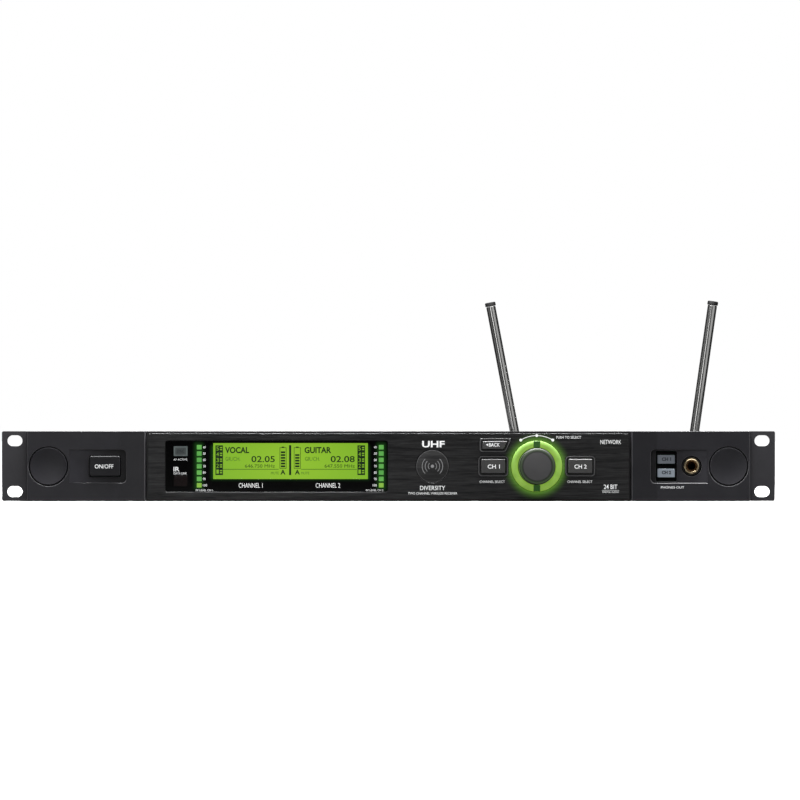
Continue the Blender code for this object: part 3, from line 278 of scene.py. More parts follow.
window_gloss = finish(
    "window_gloss",
    (0.0012, 0.0012, 0.0013),
    (0.0018, 0.0018, 0.0019),
    (0.08, 0.12),
    bump=0.0,
    Specular_IOR_Level=0.18,
)
infrared_plastic = finish(
    "infrared_plastic", (0.004, 0.002, 0.002), (0.007, 0.003, 0.003), (0.10, 0.14), bump=0.0
)
white_ink = finish("white_ink", (0.70, 0.71, 0.71), (0.82, 0.83, 0.83), (0.50, 0.60), bump=0.2)
# The ink also has a faint emission: a painted glow that keeps it bright on the dark face.
white_ink.node_tree.nodes["Principled BSDF"].inputs["Emission Color"].default_value = (0.8, 0.82, 0.82, 1)
white_ink.node_tree.nodes["Principled BSDF"].inputs["Emission Strength"].default_value = 0.38
grey_ink = finish("grey_ink", (0.30, 0.30, 0.31), (0.38, 0.38, 0.39), (0.50, 0.60), bump=0.2)
dark_ink = finish("dark_ink", (0.010, 0.014, 0.020), (0.015, 0.020, 0.028), (0.50, 0.60), bump=0.1)
cable_skin = finish("cable_skin", (0.26, 0.26, 0.27), (0.34, 0.34, 0.35), (0.50, 0.62), bump=0.3)
coil_tape = finish("coil_tape", (0.42, 0.30, 0.08), (0.52, 0.38, 0.11), (0.35, 0.50), bump=0.3)
print(len(bpy.data.materials), "materials so far")


# %% Painted light and shade on the mouldings
def paint_moulding_light_and_shade(made):
    """Painted light and shade: lighter where the scoop is shallow, painted shade in its deep end, and darker on
    the slope by the fascia.
    """
    tree = made.node_tree
    colour = tree.nodes["Principled BSDF"].inputs["Base Color"]
    plain = colour.links[0].from_socket
    parts = tree.nodes.new("ShaderNodeSeparateXYZ")
    tree.links.new(tree.nodes.new("ShaderNodeTexCoord").outputs["Object"], parts.inputs["Vector"])
    side = add_maths(tree, "ABSOLUTE", parts.outputs["X"], 0.0)
    # Painted light on the open part of the scoop, and painted shade in its deep end and on the slope beside the
    # fascia, all scaled into the base colour.
    painted_open_light = ranged(tree, parts.outputs["Y"], 1.0, 1.5, moulding_face + 0.0001, moulding_face + 0.0003)
    painted_deep_shade = ranged(tree, parts.outputs["Y"], 1.0, 0.35, moulding_face + 0.0008, moulding_face + 0.0022)
    slope = ranged(tree, side, 0.80, 1.0, 0.1665, 0.1685)
    painted_shade_factor = add_maths(tree, "MULTIPLY", add_maths(tree, "MULTIPLY", painted_open_light, painted_deep_shade), slope)
    scaled = tree.nodes.new("ShaderNodeVectorMath")
    scaled.operation = "SCALE"
    tree.links.new(plain, scaled.inputs[0])
    tree.links.new(painted_shade_factor, scaled.inputs["Scale"])
    tree.links.new(scaled.outputs["Vector"], colour)


paint_moulding_light_and_shade(moulding_satin)

# %% Metals
nickel = finish("nickel", (0.60, 0.60, 0.60), (0.68, 0.68, 0.67), (0.16, 0.24), 1.0, bump=0.08)
rod_metal = finish("rod_metal", (0.50, 0.50, 0.49), (0.56, 0.56, 0.55), (0.15, 0.19), 1.0, bump=0.0)
black_nickel = finish(
    "black_nickel", (0.050, 0.050, 0.053), (0.070, 0.070, 0.074), (0.28, 0.38), 1.0, bump=0.2
)
gold_plate = finish("gold_plate", (0.62, 0.50, 0.31), (0.70, 0.57, 0.37), (0.20, 0.28), 1.0, bump=0.05)
tin_plate = finish("tin_plate", (0.48, 0.48, 0.47), (0.58, 0.58, 0.56), (0.30, 0.45), 1.0, bump=0.2)
bare_aluminium = finish("bare_aluminium", (0.52, 0.52, 0.53), (0.60, 0.60, 0.61), (0.35, 0.45), 1.0, bump=0.3)
knob_plastic = finish(
    "knob_plastic", (0.078, 0.077, 0.079), (0.092, 0.091, 0.093), (0.36, 0.44), 0.2, bump=0.2
)
key_plastic = finish("key_plastic", (0.056, 0.056, 0.056), (0.070, 0.070, 0.070), (0.32, 0.40), 0.2, bump=0.2)

# %% [markdown]
# ### The brushed fascia
# Black anodised aluminium, brushed along its length. The lines change the colour a little and tilt the
# surface up and down a little, which smears reflections vertically as real brushing does. The light that the
# ring spills onto the metal round it is painted on as a faint green emission, a painted glow. Its mask is a
# fourth group, axis_fade: a mask by distance from the knob's axis. The knob's skirt uses it too, the other
# way round, for a painted reflection of the ring's green that grows towards its edge.


# %% Brushed fascia
def brushed(name, dark, light, rough, metallic):
    made = bpy.data.materials.new(name)
    made.use_nodes = True
    tree = made.node_tree
    shader = tree.nodes["Principled BSDF"]
    lines = placed_group(tree, brushing, Fine=1.0, Broad=1.4)
    tree.links.new(
        blended(tree, lines.outputs["Lines"], dark, light, 0.38, 0.66), shader.inputs["Base Color"]
    )
    tree.links.new(ranged(tree, lines.outputs["Lines"], *rough), shader.inputs["Roughness"])
    shader.inputs["Metallic"].default_value = metallic
    bumped = tree.nodes.new("ShaderNodeBump")
    bumped.inputs["Strength"].default_value = 0.35
    bumped.inputs["Distance"].default_value = 0.00002
    tree.links.new(lines.outputs["Height"], bumped.inputs["Height"])
    tree.links.new(bumped.outputs["Normal"], shader.inputs["Normal"])
    return made


# axis_fade is the mask for the ring's painted glow, by distance from the knob's axis.
axis_fade, given, result = new_group("axis_fade", {"Start": 0.0, "End": 1.0}, ["Mask"])
place = axis_fade.nodes.new("ShaderNodeTexCoord").outputs["Object"]
away = axis_fade.nodes.new("ShaderNodeVectorMath")
away.operation = "DISTANCE"
flat = axis_fade.nodes.new("ShaderNodeVectorMath")
flat.operation = "MULTIPLY"
flat.inputs[1].default_value = (1, 0, 1)
axis_fade.links.new(place, flat.inputs[0])
axis_fade.links.new(flat.outputs["Vector"], away.inputs[0])
away.inputs[1].default_value = (knob_centre.x, 0, knob_centre.z)
fade = axis_fade.nodes.new("ShaderNodeMapRange")
fade.inputs["To Min"].default_value = 1.0
fade.inputs["To Max"].default_value = 0.0
axis_fade.links.new(away.outputs["Value"], fade.inputs["Value"])
axis_fade.links.new(given.outputs["Start"], fade.inputs["From Min"])
axis_fade.links.new(given.outputs["End"], fade.inputs["From Max"])
axis_fade.links.new(add_maths(axis_fade, "POWER", fade.outputs["Result"], 2.6), result.inputs["Mask"])


def add_painted_ring_glow(made, colour, start, end, strength):
    """Painted light from the ring on a surface near it, as emission: full at the start radius, and gone at the end
    radius.
    """
    tree = made.node_tree
    shader = tree.nodes["Principled BSDF"]
    mask = placed_group(tree, axis_fade, Start=start, End=end).outputs["Mask"]
    tree.links.new(blended(tree, mask, (0, 0, 0), colour, 0.0, 1.0), shader.inputs["Emission Color"])
    shader.inputs["Emission Strength"].default_value = strength


ring_radius = (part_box("light_ring")[1].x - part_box("light_ring")[0].x) / 2
fascia_metal = brushed("fascia_metal", (0.018, 0.018, 0.019), (0.062, 0.062, 0.063), (0.30, 0.42), 0.75)
# A painted green glow on the fascia round the ring.
add_painted_ring_glow(fascia_metal, (0.16, 0.42, 0.03), ring_radius - 0.001, ring_radius + 0.0065, 0.8)
disc_metal = brushed("disc_metal", (0.022, 0.022, 0.023), (0.060, 0.060, 0.060), (0.30, 0.40), 0.6)

# %% [markdown]
# ### Things that give light
# The display's backlight is a lime sheet, brightest in the middle. The level lamps, the ring and the two
# phones keys are lit plastics. Each has a body colour as well as an emission, so it still looks like
# plastic, and the emission is mixed by a slow pattern or a gradient so that it isn't one flat colour.


# %% Lit finishes
def lit(name, body, dim, bright, strength, rough=0.35, middle=None, reach=0.05, squash_z=1.0):
    """A glowing plastic. With middle, the glow fades from bright at that point to dim at the reach."""
    made = bpy.data.materials.new(name)
    made.use_nodes = True
    tree = made.node_tree
    shader = tree.nodes["Principled BSDF"]
    shader.inputs["Base Color"].default_value = (*body, 1)
    shader.inputs["Roughness"].default_value = rough
    place = tree.nodes.new("ShaderNodeTexCoord").outputs["Object"]
    if middle is None:
        factor = add_noise(tree, place, 160.0, 2.0)
        colour = blended(tree, factor, dim, bright, 0.3, 0.7)
    else:
        shift = tree.nodes.new("ShaderNodeMapping")
        shift.inputs["Location"].default_value = (-middle[0], 0, -middle[1] * squash_z)
        shift.inputs["Scale"].default_value = (1, 0, squash_z)
        tree.links.new(place, shift.inputs["Vector"])
        size = tree.nodes.new("ShaderNodeVectorMath")
        size.operation = "LENGTH"
        tree.links.new(shift.outputs["Vector"], size.inputs[0])
        colour = blended(
            tree, ranged(tree, size.outputs["Value"], 1.0, 0.0, 0.0, reach), dim, bright, 0.0, 1.0
        )
    tree.links.new(colour, shader.inputs["Emission Color"])
    shader.inputs["Emission Strength"].default_value = strength
    return made


lcd_centre = centre("lcd_module")
backlight = lit(
    "backlight",
    (0.02, 0.04, 0.005),
    (0.20, 0.45, 0.018),
    (0.30, 0.56, 0.026),
    0.87,
    0.25,
    (lcd_centre.x, lcd_centre.z),
    0.062,
    1.6,
)
lcd_ink = finish("lcd_ink", (0.003, 0.022, 0.001), (0.005, 0.032, 0.002), (0.25, 0.30), bump=0.0)
middling_ink = finish("middling_ink", (0.012, 0.050, 0.003), (0.018, 0.062, 0.004), (0.25, 0.30), bump=0.0)
faint_ink = finish("faint_ink", (0.050, 0.150, 0.010), (0.060, 0.180, 0.012), (0.25, 0.30), bump=0.0)
level_lamp = lit("level_lamp", (0.02, 0.06, 0.02), (0.080, 0.36, 0.055), (0.13, 0.46, 0.075), 0.85)
end_lamp = lit("end_lamp", (0.03, 0.06, 0.02), (0.20, 0.43, 0.030), (0.26, 0.52, 0.045), 0.85)
ring_light = lit("ring_light", (0.10, 0.20, 0.04), (0.18, 0.33, 0.036), (0.26, 0.43, 0.060), 0.82, 0.45)
phones_light_1 = lit("phones_light_1", (0.07, 0.075, 0.085), (0.05, 0.06, 0.07), (0.09, 0.10, 0.115), 0.7)
phones_light_2 = lit("phones_light_2", (0.13, 0.15, 0.17), (0.11, 0.125, 0.15), (0.17, 0.195, 0.225), 0.7)
status_light = lit("status_light", (0.03, 0.035, 0.035), (0.020, 0.026, 0.025), (0.034, 0.042, 0.040), 0.7)
status_edge = lit("status_edge", (0.06, 0.07, 0.07), (0.048, 0.062, 0.064), (0.080, 0.098, 0.096), 0.7)
print(len(bpy.data.materials), "materials")


# %% Circuit board
def board_finish():
    """Green solder resist over a dense grid of tracks."""
    made = bpy.data.materials.new("solder_resist")
    made.use_nodes = True
    tree = made.node_tree
    shader = tree.nodes["Principled BSDF"]
    place = tree.nodes.new("ShaderNodeTexCoord").outputs["Object"]
    cells = tree.nodes.new("ShaderNodeTexBrick")
    cells.inputs["Scale"].default_value = 130.0
    cells.inputs["Color1"].default_value = (0.006, 0.050, 0.020, 1)
    cells.inputs["Color2"].default_value = (0.010, 0.085, 0.034, 1)
    cells.inputs["Mortar"].default_value = (0.018, 0.120, 0.050, 1)
    tree.links.new(place, cells.inputs["Vector"])
    tree.links.new(cells.outputs["Color"], shader.inputs["Base Color"])
    shader.inputs["Roughness"].default_value = 0.35
    return made


solder_resist = board_finish()

# %% [markdown]
# The polished window gets a painted glow, a faint green emission beside the lamps and the display. It is
# the same idea as the ring's painted glow, but the distance is measured from a rectangle: how far a point
# lies outside it along X and along Z.


# %% Painted glow beside the lamps
def add_painted_lamp_glow(made, rectangles, colour, reach, strength):
    """Each rectangle is (x, z, half width, half height)."""
    tree = made.node_tree
    shader = tree.nodes["Principled BSDF"]
    place = tree.nodes.new("ShaderNodeTexCoord").outputs["Object"]
    strongest = 0.0
    for x, z, half_x, half_z in rectangles:
        steps = (
            ("SUBTRACT", (x, 0, z)),
            ("ABSOLUTE", None),
            ("SUBTRACT", (half_x, 1, half_z)),
            ("MAXIMUM", (0, 0, 0)),
        )
        value = place
        for operation, other in steps:
            step = tree.nodes.new("ShaderNodeVectorMath")
            step.operation = operation
            tree.links.new(value, step.inputs[0])
            if other is not None:
                step.inputs[1].default_value = other
            value = step.outputs["Vector"]
        size = tree.nodes.new("ShaderNodeVectorMath")
        size.operation = "LENGTH"
        tree.links.new(value, size.inputs[0])
        near = add_maths(tree, "POWER", ranged(tree, size.outputs["Value"], 1.0, 0.0, 0.0, reach), 2.2)
        strongest = near if isinstance(strongest, float) else add_maths(tree, "MAXIMUM", strongest, near)
    # The window's painted green glow, given as emission.
    spill = tree.nodes.new("ShaderNodeMix")
    spill.data_type = "RGBA"
    spill.inputs["A"].default_value = (0, 0, 0, 1)
    spill.inputs["B"].default_value = (*colour, 1)
    tree.links.new(strongest, spill.inputs["Factor"])
    tree.links.new(spill.outputs["Result"], shader.inputs["Emission Color"])
    shader.inputs["Emission Strength"].default_value = strength


lamp_columns = [centre(node) for node in ("left_level_meter", "right_level_meter")]
rectangles = [(place.x, middle_z, mm(1.4), mm(13.2)) for place in lamp_columns]
rectangles.append((lcd_centre.x, lcd_centre.z, mm(48.0), mm(9.3)))
add_painted_lamp_glow(window_gloss, rectangles, (0.012, 0.060, 0.010), 0.0034, 0.8)

# %% [markdown]
# ## Ways to make a piece
# Most pieces are made in one of four ways.
#
# - dressed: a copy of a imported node, welded, with its flat faces merged and its edges rounded. It suits
#   folded sheet and moulded shapes whose plain form is already right.
# - turned: a profile spun about an axis, for knobs, rings, sockets and rods. The spin operator needs a full
#   turn and its seam merged.
# - cut_plate: outlines with holes, filled flat as a 2D curve and then given thickness, for panels with
#   smooth round openings.
# - lettering: a text curve turned into a thin printed layer.


# %% Putting a piece in the scene
def shade(mesh, angle=35):
    mesh.shade_smooth()
    mesh.set_sharp_from_angle(angle=math.radians(angle))


def link_piece(name, mesh, finishes, body, replaced=(), angle=35):
    """Links a mesh as a piece that rides on a body, and stands for the replaced nodes."""
    made = bpy.data.objects.new(name, mesh)
    scene.collection.objects.link(made)
    mesh.materials.clear()
    for one in finishes if isinstance(finishes, (list, tuple)) else [finishes]:
        mesh.materials.append(one)
    shade(mesh, angle)
    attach(made, body)
    if replaced:
        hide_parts(*replaced)
    return made


def to_mesh(bm, name):
    made = bpy.data.meshes.new(name)
    bm.to_mesh(made)
    bm.free()
    return made


def rounded_edges(obj, width, segments=2, angle=32):
    """A Bevel modifier that rounds only real corners, then a Weighted Normal that keeps flat faces flat."""
    bevel = obj.modifiers.new("rounded", "BEVEL")
    bevel.width = width
    bevel.segments = segments
    bevel.limit_method = "ANGLE"
    bevel.angle_limit = math.radians(angle)
    bevel.miter_outer = "MITER_ARC"
    flat = obj.modifiers.new("flat_faces", "WEIGHTED_NORMAL")
    flat.keep_sharp = True
    return obj


# %% Dressed copies
def dressed(node, finishes, width=0.0003, segments=2, angle=32, sharp_x=(), lip=None, shortest=0.0):
    """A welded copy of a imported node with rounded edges. Upright edges at the X values in sharp_x stay crisp.
    lip is (width, test): edges whose middle passes the test are rounded by that width instead. With shortest,
    only edges at least that long are rounded, and faces stay as they come. That suits sheet full of slots."""
    bm = bmesh.new()
    bm.from_mesh(nodes[node].data)
    bmesh.ops.remove_doubles(bm, verts=bm.verts, dist=1e-6)
    if not shortest:
        bmesh.ops.dissolve_limit(bm, angle_limit=math.radians(0.5), verts=bm.verts, edges=bm.edges)
    made = link_piece(f"{node}_piece", to_mesh(bm, f"{node}_piece"), finishes, body_of[node], (node,))
    for edge in made.data.edges:
        a, b = (made.data.vertices[i].co for i in edge.vertices)
        if abs(a.z - b.z) > 0.5 * (a - b).length and any(abs(abs(a.x) - x) < 1e-4 for x in sharp_x):
            edge.use_edge_sharp = True
    if lip or shortest:
        weigh_edges(made.data, width, angle, lip or (width, lambda middle: True), shortest)
        bevel = rounded_edges(made, lip[0] if lip else width, segments, angle).modifiers["rounded"]
        bevel.limit_method = "WEIGHT"
        bevel.use_clamp_overlap = not shortest
        bevel.material = 1 if isinstance(finishes, list) else -1
    elif width:
        rounded_edges(made, width, segments, angle)
    return made


def weigh_edges(mesh, width, angle, lip, shortest):
    """Bevel weights for all real corners: 1 where the lip's test says so, none where it says None, and less
    elsewhere."""
    bm = bmesh.new()
    bm.from_mesh(mesh)
    weight = bm.edges.layers.float.new("bevel_weight_edge")
    for edge in bm.edges:
        if len(
            edge.link_faces
        ) == 2 and edge.calc_face_angle() > math.radians(angle) and edge.calc_length() >= shortest:
            middle = (edge.verts[0].co + edge.verts[1].co) / 2
            verdict = lip[1](middle)
            edge[weight] = 0.0 if verdict is None else 1.0 if verdict else width / lip[0]
    bm.to_mesh(mesh)
    bm.free()


# %% Turned pieces
def turned_mesh(name, profile, at, steps=64, turn=None):
    """Spins a profile of (radius, y) about the Y axis through a point. A profile that starts and ends on the
    axis closes by itself. Otherwise its ends are joined."""
    bm = bmesh.new()
    corners = [bm.verts.new((radius, y, 0)) for radius, y in profile]
    pairs = list(zip(corners, corners[1:]))
    if profile[0][0] > 0 or profile[-1][0] > 0:
        pairs.append((corners[-1], corners[0]))
    edges = [bm.edges.new(pair) for pair in pairs]
    bmesh.ops.spin(
        bm, geom=corners + edges, cent=(
            0, 0, 0
        ), axis=(0, 1, 0), angle=2 * math.pi, steps=steps, use_merge=True
    )
    bmesh.ops.remove_doubles(bm, verts=bm.verts, dist=1e-6)
    bmesh.ops.recalc_face_normals(bm, faces=bm.faces)
    place = Matrix.Translation(at)
    if turn is not None:
        place = place @ turn
    bmesh.ops.transform(bm, matrix=place, verts=bm.verts)
    return to_mesh(bm, name)


# %% Flat plates with holes
def box_outline(low_x, high_x, low_z, high_z, corner=0.0, steps=6):
    """A rectangle with rounded corners, as (x, z) points."""
    if corner <= 0:
        return [(low_x, low_z), (high_x, low_z), (high_x, high_z), (low_x, high_z)]
    points = []
    centres = (
        (high_x - corner, low_z + corner, -90),
        (high_x - corner, high_z - corner, 0),
        (low_x + corner, high_z - corner, 90),
        (low_x + corner, low_z + corner, 180),
    )
    for x, z, start in centres:
        for i in range(steps + 1):
            t = math.radians(start + 90 * i / steps)
            points.append((x + corner * math.cos(t), z + corner * math.sin(t)))
    return points


def circle_outline(x, z, radius, steps=72):
    return [
        (x + radius * math.cos(math.tau * i / steps), z + radius * math.sin(math.tau * i / steps))
        for i in range(steps)
    ]


def cut_plate(name, outlines, front_y, back_y):
    """A plate from front_y to back_y: outlines of (x, z) points, with holes where one lies in another. They're
    drawn a hundred times larger and shrunk, because filling merges points that lie very close."""
    curve = bpy.data.curves.new(name, "CURVE")
    curve.dimensions = "2D"
    curve.fill_mode = "BOTH"
    curve.extrude = (back_y - front_y) / 2 * 100
    for points in outlines:
        spline = curve.splines.new("POLY")
        spline.points.add(len(points) - 1)
        for corner, (x, z) in zip(spline.points, points):
            corner.co = (x * 100, z * 100, 0, 1)
        spline.use_cyclic_u = True
    holder = bpy.data.objects.new(name, curve)
    scene.collection.objects.link(holder)
    bpy.context.view_layer.update()
    flat = bpy.data.meshes.new_from_object(holder.evaluated_get(bpy.context.evaluated_depsgraph_get()))
    bpy.data.objects.remove(holder)
    bm = bmesh.new()
    bm.from_mesh(flat)
    stand = Matrix.Translation((0, (front_y + back_y) / 2, 0)) @ Matrix.Rotation(math.pi / 2, 4, "X")
    stand = stand @ Matrix.Scale(0.01, 4)
    bmesh.ops.transform(bm, matrix=stand, verts=bm.verts)
    bmesh.ops.remove_doubles(bm, verts=bm.verts, dist=1e-7)
    bmesh.ops.recalc_face_normals(bm, faces=bm.faces)
    bmesh.ops.dissolve_limit(bm, angle_limit=math.radians(0.5), verts=bm.verts, edges=bm.edges)
    return to_mesh(bm, name)


# %% Lettering
ink_thickness = 0.00004


def lettering(bm, words, left, right, low, high, face, bold=0.0, rear=False):
    """Adds words to a bmesh as a printed layer fitted to a box on a face. With rear, they read from behind."""
    curve = bpy.data.curves.new("words", "FONT")
    curve.body = words
    curve.offset = bold
    curve.resolution_u = 3
    holder = bpy.data.objects.new("words", curve)
    scene.collection.objects.link(holder)
    bpy.context.view_layer.update()
    flat = bpy.data.meshes.new_from_object(holder.evaluated_get(bpy.context.evaluated_depsgraph_get()))
    bpy.data.objects.remove(holder)
    xs = [v.co.x for v in flat.vertices]
    ys = [v.co.y for v in flat.vertices]
    shrink = Matrix.Diagonal(((right - left) / (max(xs) - min(xs)), (high - low) / (max(ys) - min(ys)), 1, 1))
    flat.transform(Matrix.Translation((-(max(xs) + min(xs)) / 2, -(max(ys) + min(ys)) / 2, 0)))
    stand = Matrix.Rotation(math.pi / 2, 4, "X")
    if rear:
        stand = Matrix.Rotation(math.pi, 4, "Z") @ stand
    middle = Matrix.Translation(((left + right) / 2, face, (low + high) / 2))
    flat.transform(middle @ stand @ shrink)
    fresh = bmesh.new()
    fresh.from_mesh(flat)
    bmesh.ops.remove_doubles(fresh, verts=fresh.verts, dist=1e-7)
    made = bmesh.ops.extrude_face_region(fresh, geom=fresh.faces[:], use_keep_orig=True)
    lift = ink_thickness if rear else -ink_thickness
    raised = [item for item in made["geom"] if isinstance(item, bmesh.types.BMVert)]
    bmesh.ops.translate(fresh, vec=(0, lift, 0), verts=raised)
    bmesh.ops.recalc_face_normals(fresh, faces=fresh.faces)
    fresh.to_mesh(flat)
    fresh.free()
    bm.from_mesh(flat)
    bpy.data.meshes.remove(flat)


def bar(bm, left, right, low, high, front_y, back_y):
    """Adds a small box to a bmesh."""
    made = bmesh.ops.create_cube(bm, size=1.0)["verts"]
    bmesh.ops.scale(bm, vec=(right - left, back_y - front_y, high - low), verts=made)
    bmesh.ops.translate(bm, vec=((left + right) / 2, (front_y + back_y) / 2, (low + high) / 2), verts=made)
    return made


def arc_strip(bm, x, z, radius, width, start, end, face, steps=40):
    """Adds a thin curved line on a face. Angles are in degrees from the top, turning right."""
    edge_low = bm.verts.new((x, face, z + radius - width / 2))
    edge_high = bm.verts.new((x, face, z + radius + width / 2))
    line = bm.edges.new((edge_low, edge_high))
    ends = [edge_low, edge_high, line]
    bmesh.ops.rotate(
        bm, cent=(x, face, z), matrix=Matrix.Rotation(
            math.radians(start), 3, "Y"
        ), verts=[edge_low, edge_high]
    )
    made = bmesh.ops.spin(
        bm, geom=ends, cent=(x, face, z), axis=(0, 1, 0), angle=math.radians(end - start), steps=steps
    )
    spun = {face_ for vert in (edge_low, edge_high) for face_ in vert.link_faces}
    while True:
        grown = {f for one in spun for vert in one.verts for f in vert.link_faces} | spun
        if len(grown) == len(spun):
            break
        spun = grown
    lifted = bmesh.ops.extrude_face_region(bm, geom=list(spun), use_keep_orig=True)
    raised = [item for item in lifted["geom"] if isinstance(item, bmesh.types.BMVert)]
    bmesh.ops.translate(bm, vec=(0, -ink_thickness, 0), verts=raised)
    bmesh.ops.recalc_face_normals(bm, faces=bm.faces)
    return made


print("ways to make a piece are ready")

# %% [markdown]
# ## The case
# The tray, cover and back sheet are folded steel in satin black powder paint. Their plain shapes are right,
# so copies with rounded edges are enough: a folded edge always has a small radius, and it is that radius
# which catches the light. Only the long edges are rounded. A punched vent slot stays crisp.

# %% Case sheets
for node in ("chassis_tray", "top_cover"):
    dressed(node, case_paint, 0.0005, 3, shortest=0.025)
dressed("rear_panel", case_paint, 0.00025, shortest=0.025)
print("case sheets dressed")

# %% [markdown]
# ### Screws
# A pan-head screw is a low dome with a cross recess. The head is turned, two crossed bars are cut from it
# with a Boolean, and the result is kept as a master. Each screw is a copy of the master put in place.


# %% Screw master
def screw_master(radius, height):
    """A head along +Y from 0, with a cross recess in its top."""
    crown = height * 0.55
    profile = [(0, height), (radius * 0.35, height * 0.99), (radius * 0.7, height * 0.88)]
    profile += [(radius * 0.93, crown), (radius, height * 0.2), (radius, 0), (0, 0)]
    head = bpy.data.objects.new("head", turned_mesh("head", profile, (0, 0, 0), 28))
    bm = bmesh.new()
    long, wide = radius * 1.15, radius * 0.26
    bar(bm, -long / 2, long / 2, -wide / 2, wide / 2, height * 0.45, height * 1.5)
    cross = bpy.data.objects.new("cross", to_mesh(bm, "cross"))
    bm = bmesh.new()
    bar(bm, -wide / 2, wide / 2, -long / 2, long / 2, height * 0.45, height * 1.5)
    other = bpy.data.objects.new("other", to_mesh(bm, "other"))
    for one in (head, cross, other):
        scene.collection.objects.link(one)
    for cutter in (cross, other):
        step = head.modifiers.new("recess", "BOOLEAN")
        step.operation = "DIFFERENCE"
        step.solver = "EXACT"
        step.object = cutter
    bpy.context.view_layer.update()
    made = bpy.data.meshes.new_from_object(head.evaluated_get(bpy.context.evaluated_depsgraph_get()))
    for one in (head, cross, other):
        bpy.data.objects.remove(one)
    return made


def place_screw(name, master, at, outward, body="housing", replaced=()):
    mesh = master.copy()
    turn = Vector(outward).to_track_quat("Y", "Z").to_matrix().to_4x4()
    mesh.transform(Matrix.Translation(at) @ turn)
    made = link_piece(name, mesh, black_nickel, body, replaced)
    return made


# %% Screws in place
cover_master = screw_master(0.0028, 0.0018)
small_master = screw_master(0.0021, 0.0011)
for number in (1, 2, 3, 4):
    node = f"cover_screw_{number}"
    low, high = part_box(node)
    side = 1 if centre(node).x > 0 else -1
    seat_x = (high.x if side > 0 else low.x) - side * 0.0018
    place_screw(
        f"{node}_head", cover_master, (seat_x, centre(node).y, centre(node).z), (side, 0, 0), replaced=(node,)
    )
for connector, reach_x, reach_z in (
    ("audio_output_1", 0.0098, 0.0122),
    ("audio_output_2", 0.0098, 0.0122),
    ("digital_output", 0.0098, 0.0122),
):
    middle = centre(connector)
    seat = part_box(connector)[1].y
    for side in (-1, 1):
        at = (middle.x + side * reach_x, seat, middle.z - side * reach_z)
        place_screw(f"{connector}_screw_{'a' if side < 0 else 'b'}", small_master, at, (0, 1, 0))
middle = centre("mains_inlet")
for side in (-1, 1):
    at = (middle.x + side * 0.020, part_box("mains_inlet")[1].y, middle.z)
    place_screw(f"mains_inlet_screw_{'a' if side < 0 else 'b'}", small_master, at, (0, 1, 0))
for i, x in enumerate((-0.212, -0.140, -0.086, 0.030, 0.116, 0.174)):
    for j, z in enumerate((0.0052, middle_z * 2 - 0.0062)):
        if i in (0, 5) and j == 1:
            continue
        place_screw(f"rear_screw_{i}_{j}", small_master, (x, rear_face, z), (0, 1, 0))
print("screws placed")

# %% [markdown]
# ## The rack panel
# The 3 mm panel carries everything else, and only its two ears show. It is cut as a flat plate so that the
# slots have truly round ends, and its openings match those of the pieces that come through it.


# %% Rack panel
def opening(node, grow=0.0003, corner=0.0006):
    low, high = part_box(node)
    return box_outline(low.x - grow, high.x + grow, low.z - grow, high.z + grow, corner)


def key_opening(node, grow):
    low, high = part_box(node)
    return box_outline(low.x - grow, high.x + grow, low.z - grow, high.z + grow, 0.0008)


low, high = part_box("front_plate")
outlines = [box_outline(low.x, high.x, low.z, high.z, 0.0010)]
slot_half, slot_tall = 0.0048, 0.0034
for hole in frame["record"]["physics"]["openings"]:
    if not hole["name"].endswith("_slot"):
        continue
    (x0, _, z0), (x1, _, z1) = hole["box_m"]
    x, z = (x0 + x1) / 2, (z0 + z1) / 2
    outlines.append(
        box_outline(x - slot_half, x + slot_half, z - slot_tall, z + slot_tall, slot_tall - 0.00001, 10)
    )
window_low, window_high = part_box("display_window")
ledge = 0.0015
display_opening = box_outline(
    window_low.x + ledge, window_high.x - ledge, window_low.z + ledge, window_high.z - ledge, 0.0005
)
encoder_opening = circle_outline(knob_centre.x, knob_centre.z, ring_radius - 0.004)
outlines += [display_opening, encoder_opening]
key_gap = 0.00035
outlines += [key_opening(node, key_gap) for node in ("channel_1_key", "channel_2_key", "back_key")]
outlines += [opening("power_button", key_gap, 0.0014), opening("phones_key_frame")]
outlines.append(circle_outline(centre("headphone_jack").x, middle_z, 0.0049))
for node in ("left_port_cap", "right_port_cap"):
    outlines.append(circle_outline(centre(node).x, middle_z, 0.0051))
plate = link_piece(
    "rack_panel",
    cut_plate("rack_panel", outlines, plate_face, plate_back),
    ear_paint,
    "housing",
    ("front_plate",),
)
rounded_edges(plate, 0.00035, 3)
print("rack panel:", len(plate.data.polygons), "faces,", len(outlines), "outlines")

# %% [markdown]
# ## The side mouldings and port caps
# Satin blue-grey plastic. Each moulding is flat by the ear, creases, and rises to the fascia, with a finger
# scoop whose lower lip catches the light. That lip and the port's lower edge get a wider rounding in a
# lighter finish, a painted highlight that adds to the light they catch. The crease is a crisp edge, so its
# upright edges are marked sharp. The caps close two round ports. They're turned, with a shallow dish inside
# a fine raised edge, and stand in a dark groove.

# %% Side mouldings
crease_x = 0.1675
scoop_low = middle_z - 0.01045
scoop_inner, scoop_outer = 0.1636, 0.1988
port_x, port_radius = centre("right_port_cap").x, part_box("right_port_cap")[1].x - centre("right_port_cap").x


def on_lit_lip(place):
    """True for the front edges of the scoop's lower side, the lower half of its deep end, and the port's rim.
    None for the scoop's shallow end, which fades into the face."""
    side = abs(place.x)
    if abs(side - scoop_outer) < 0.0002 and abs(place.z - middle_z) < 0.0095:
        return None
    level = moulding_face + 0.0002 > place.y
    low = abs(place.z - scoop_low) < 0.0030 and scoop_inner - 0.001 < side < scoop_outer
    deep_end = abs(side - scoop_inner) < 0.0005 and place.z < middle_z
    port = math.hypot(side - port_x, place.z - middle_z) < port_radius + 0.0008 and place.z < middle_z + 0.002
    return level and (low or deep_end or port)
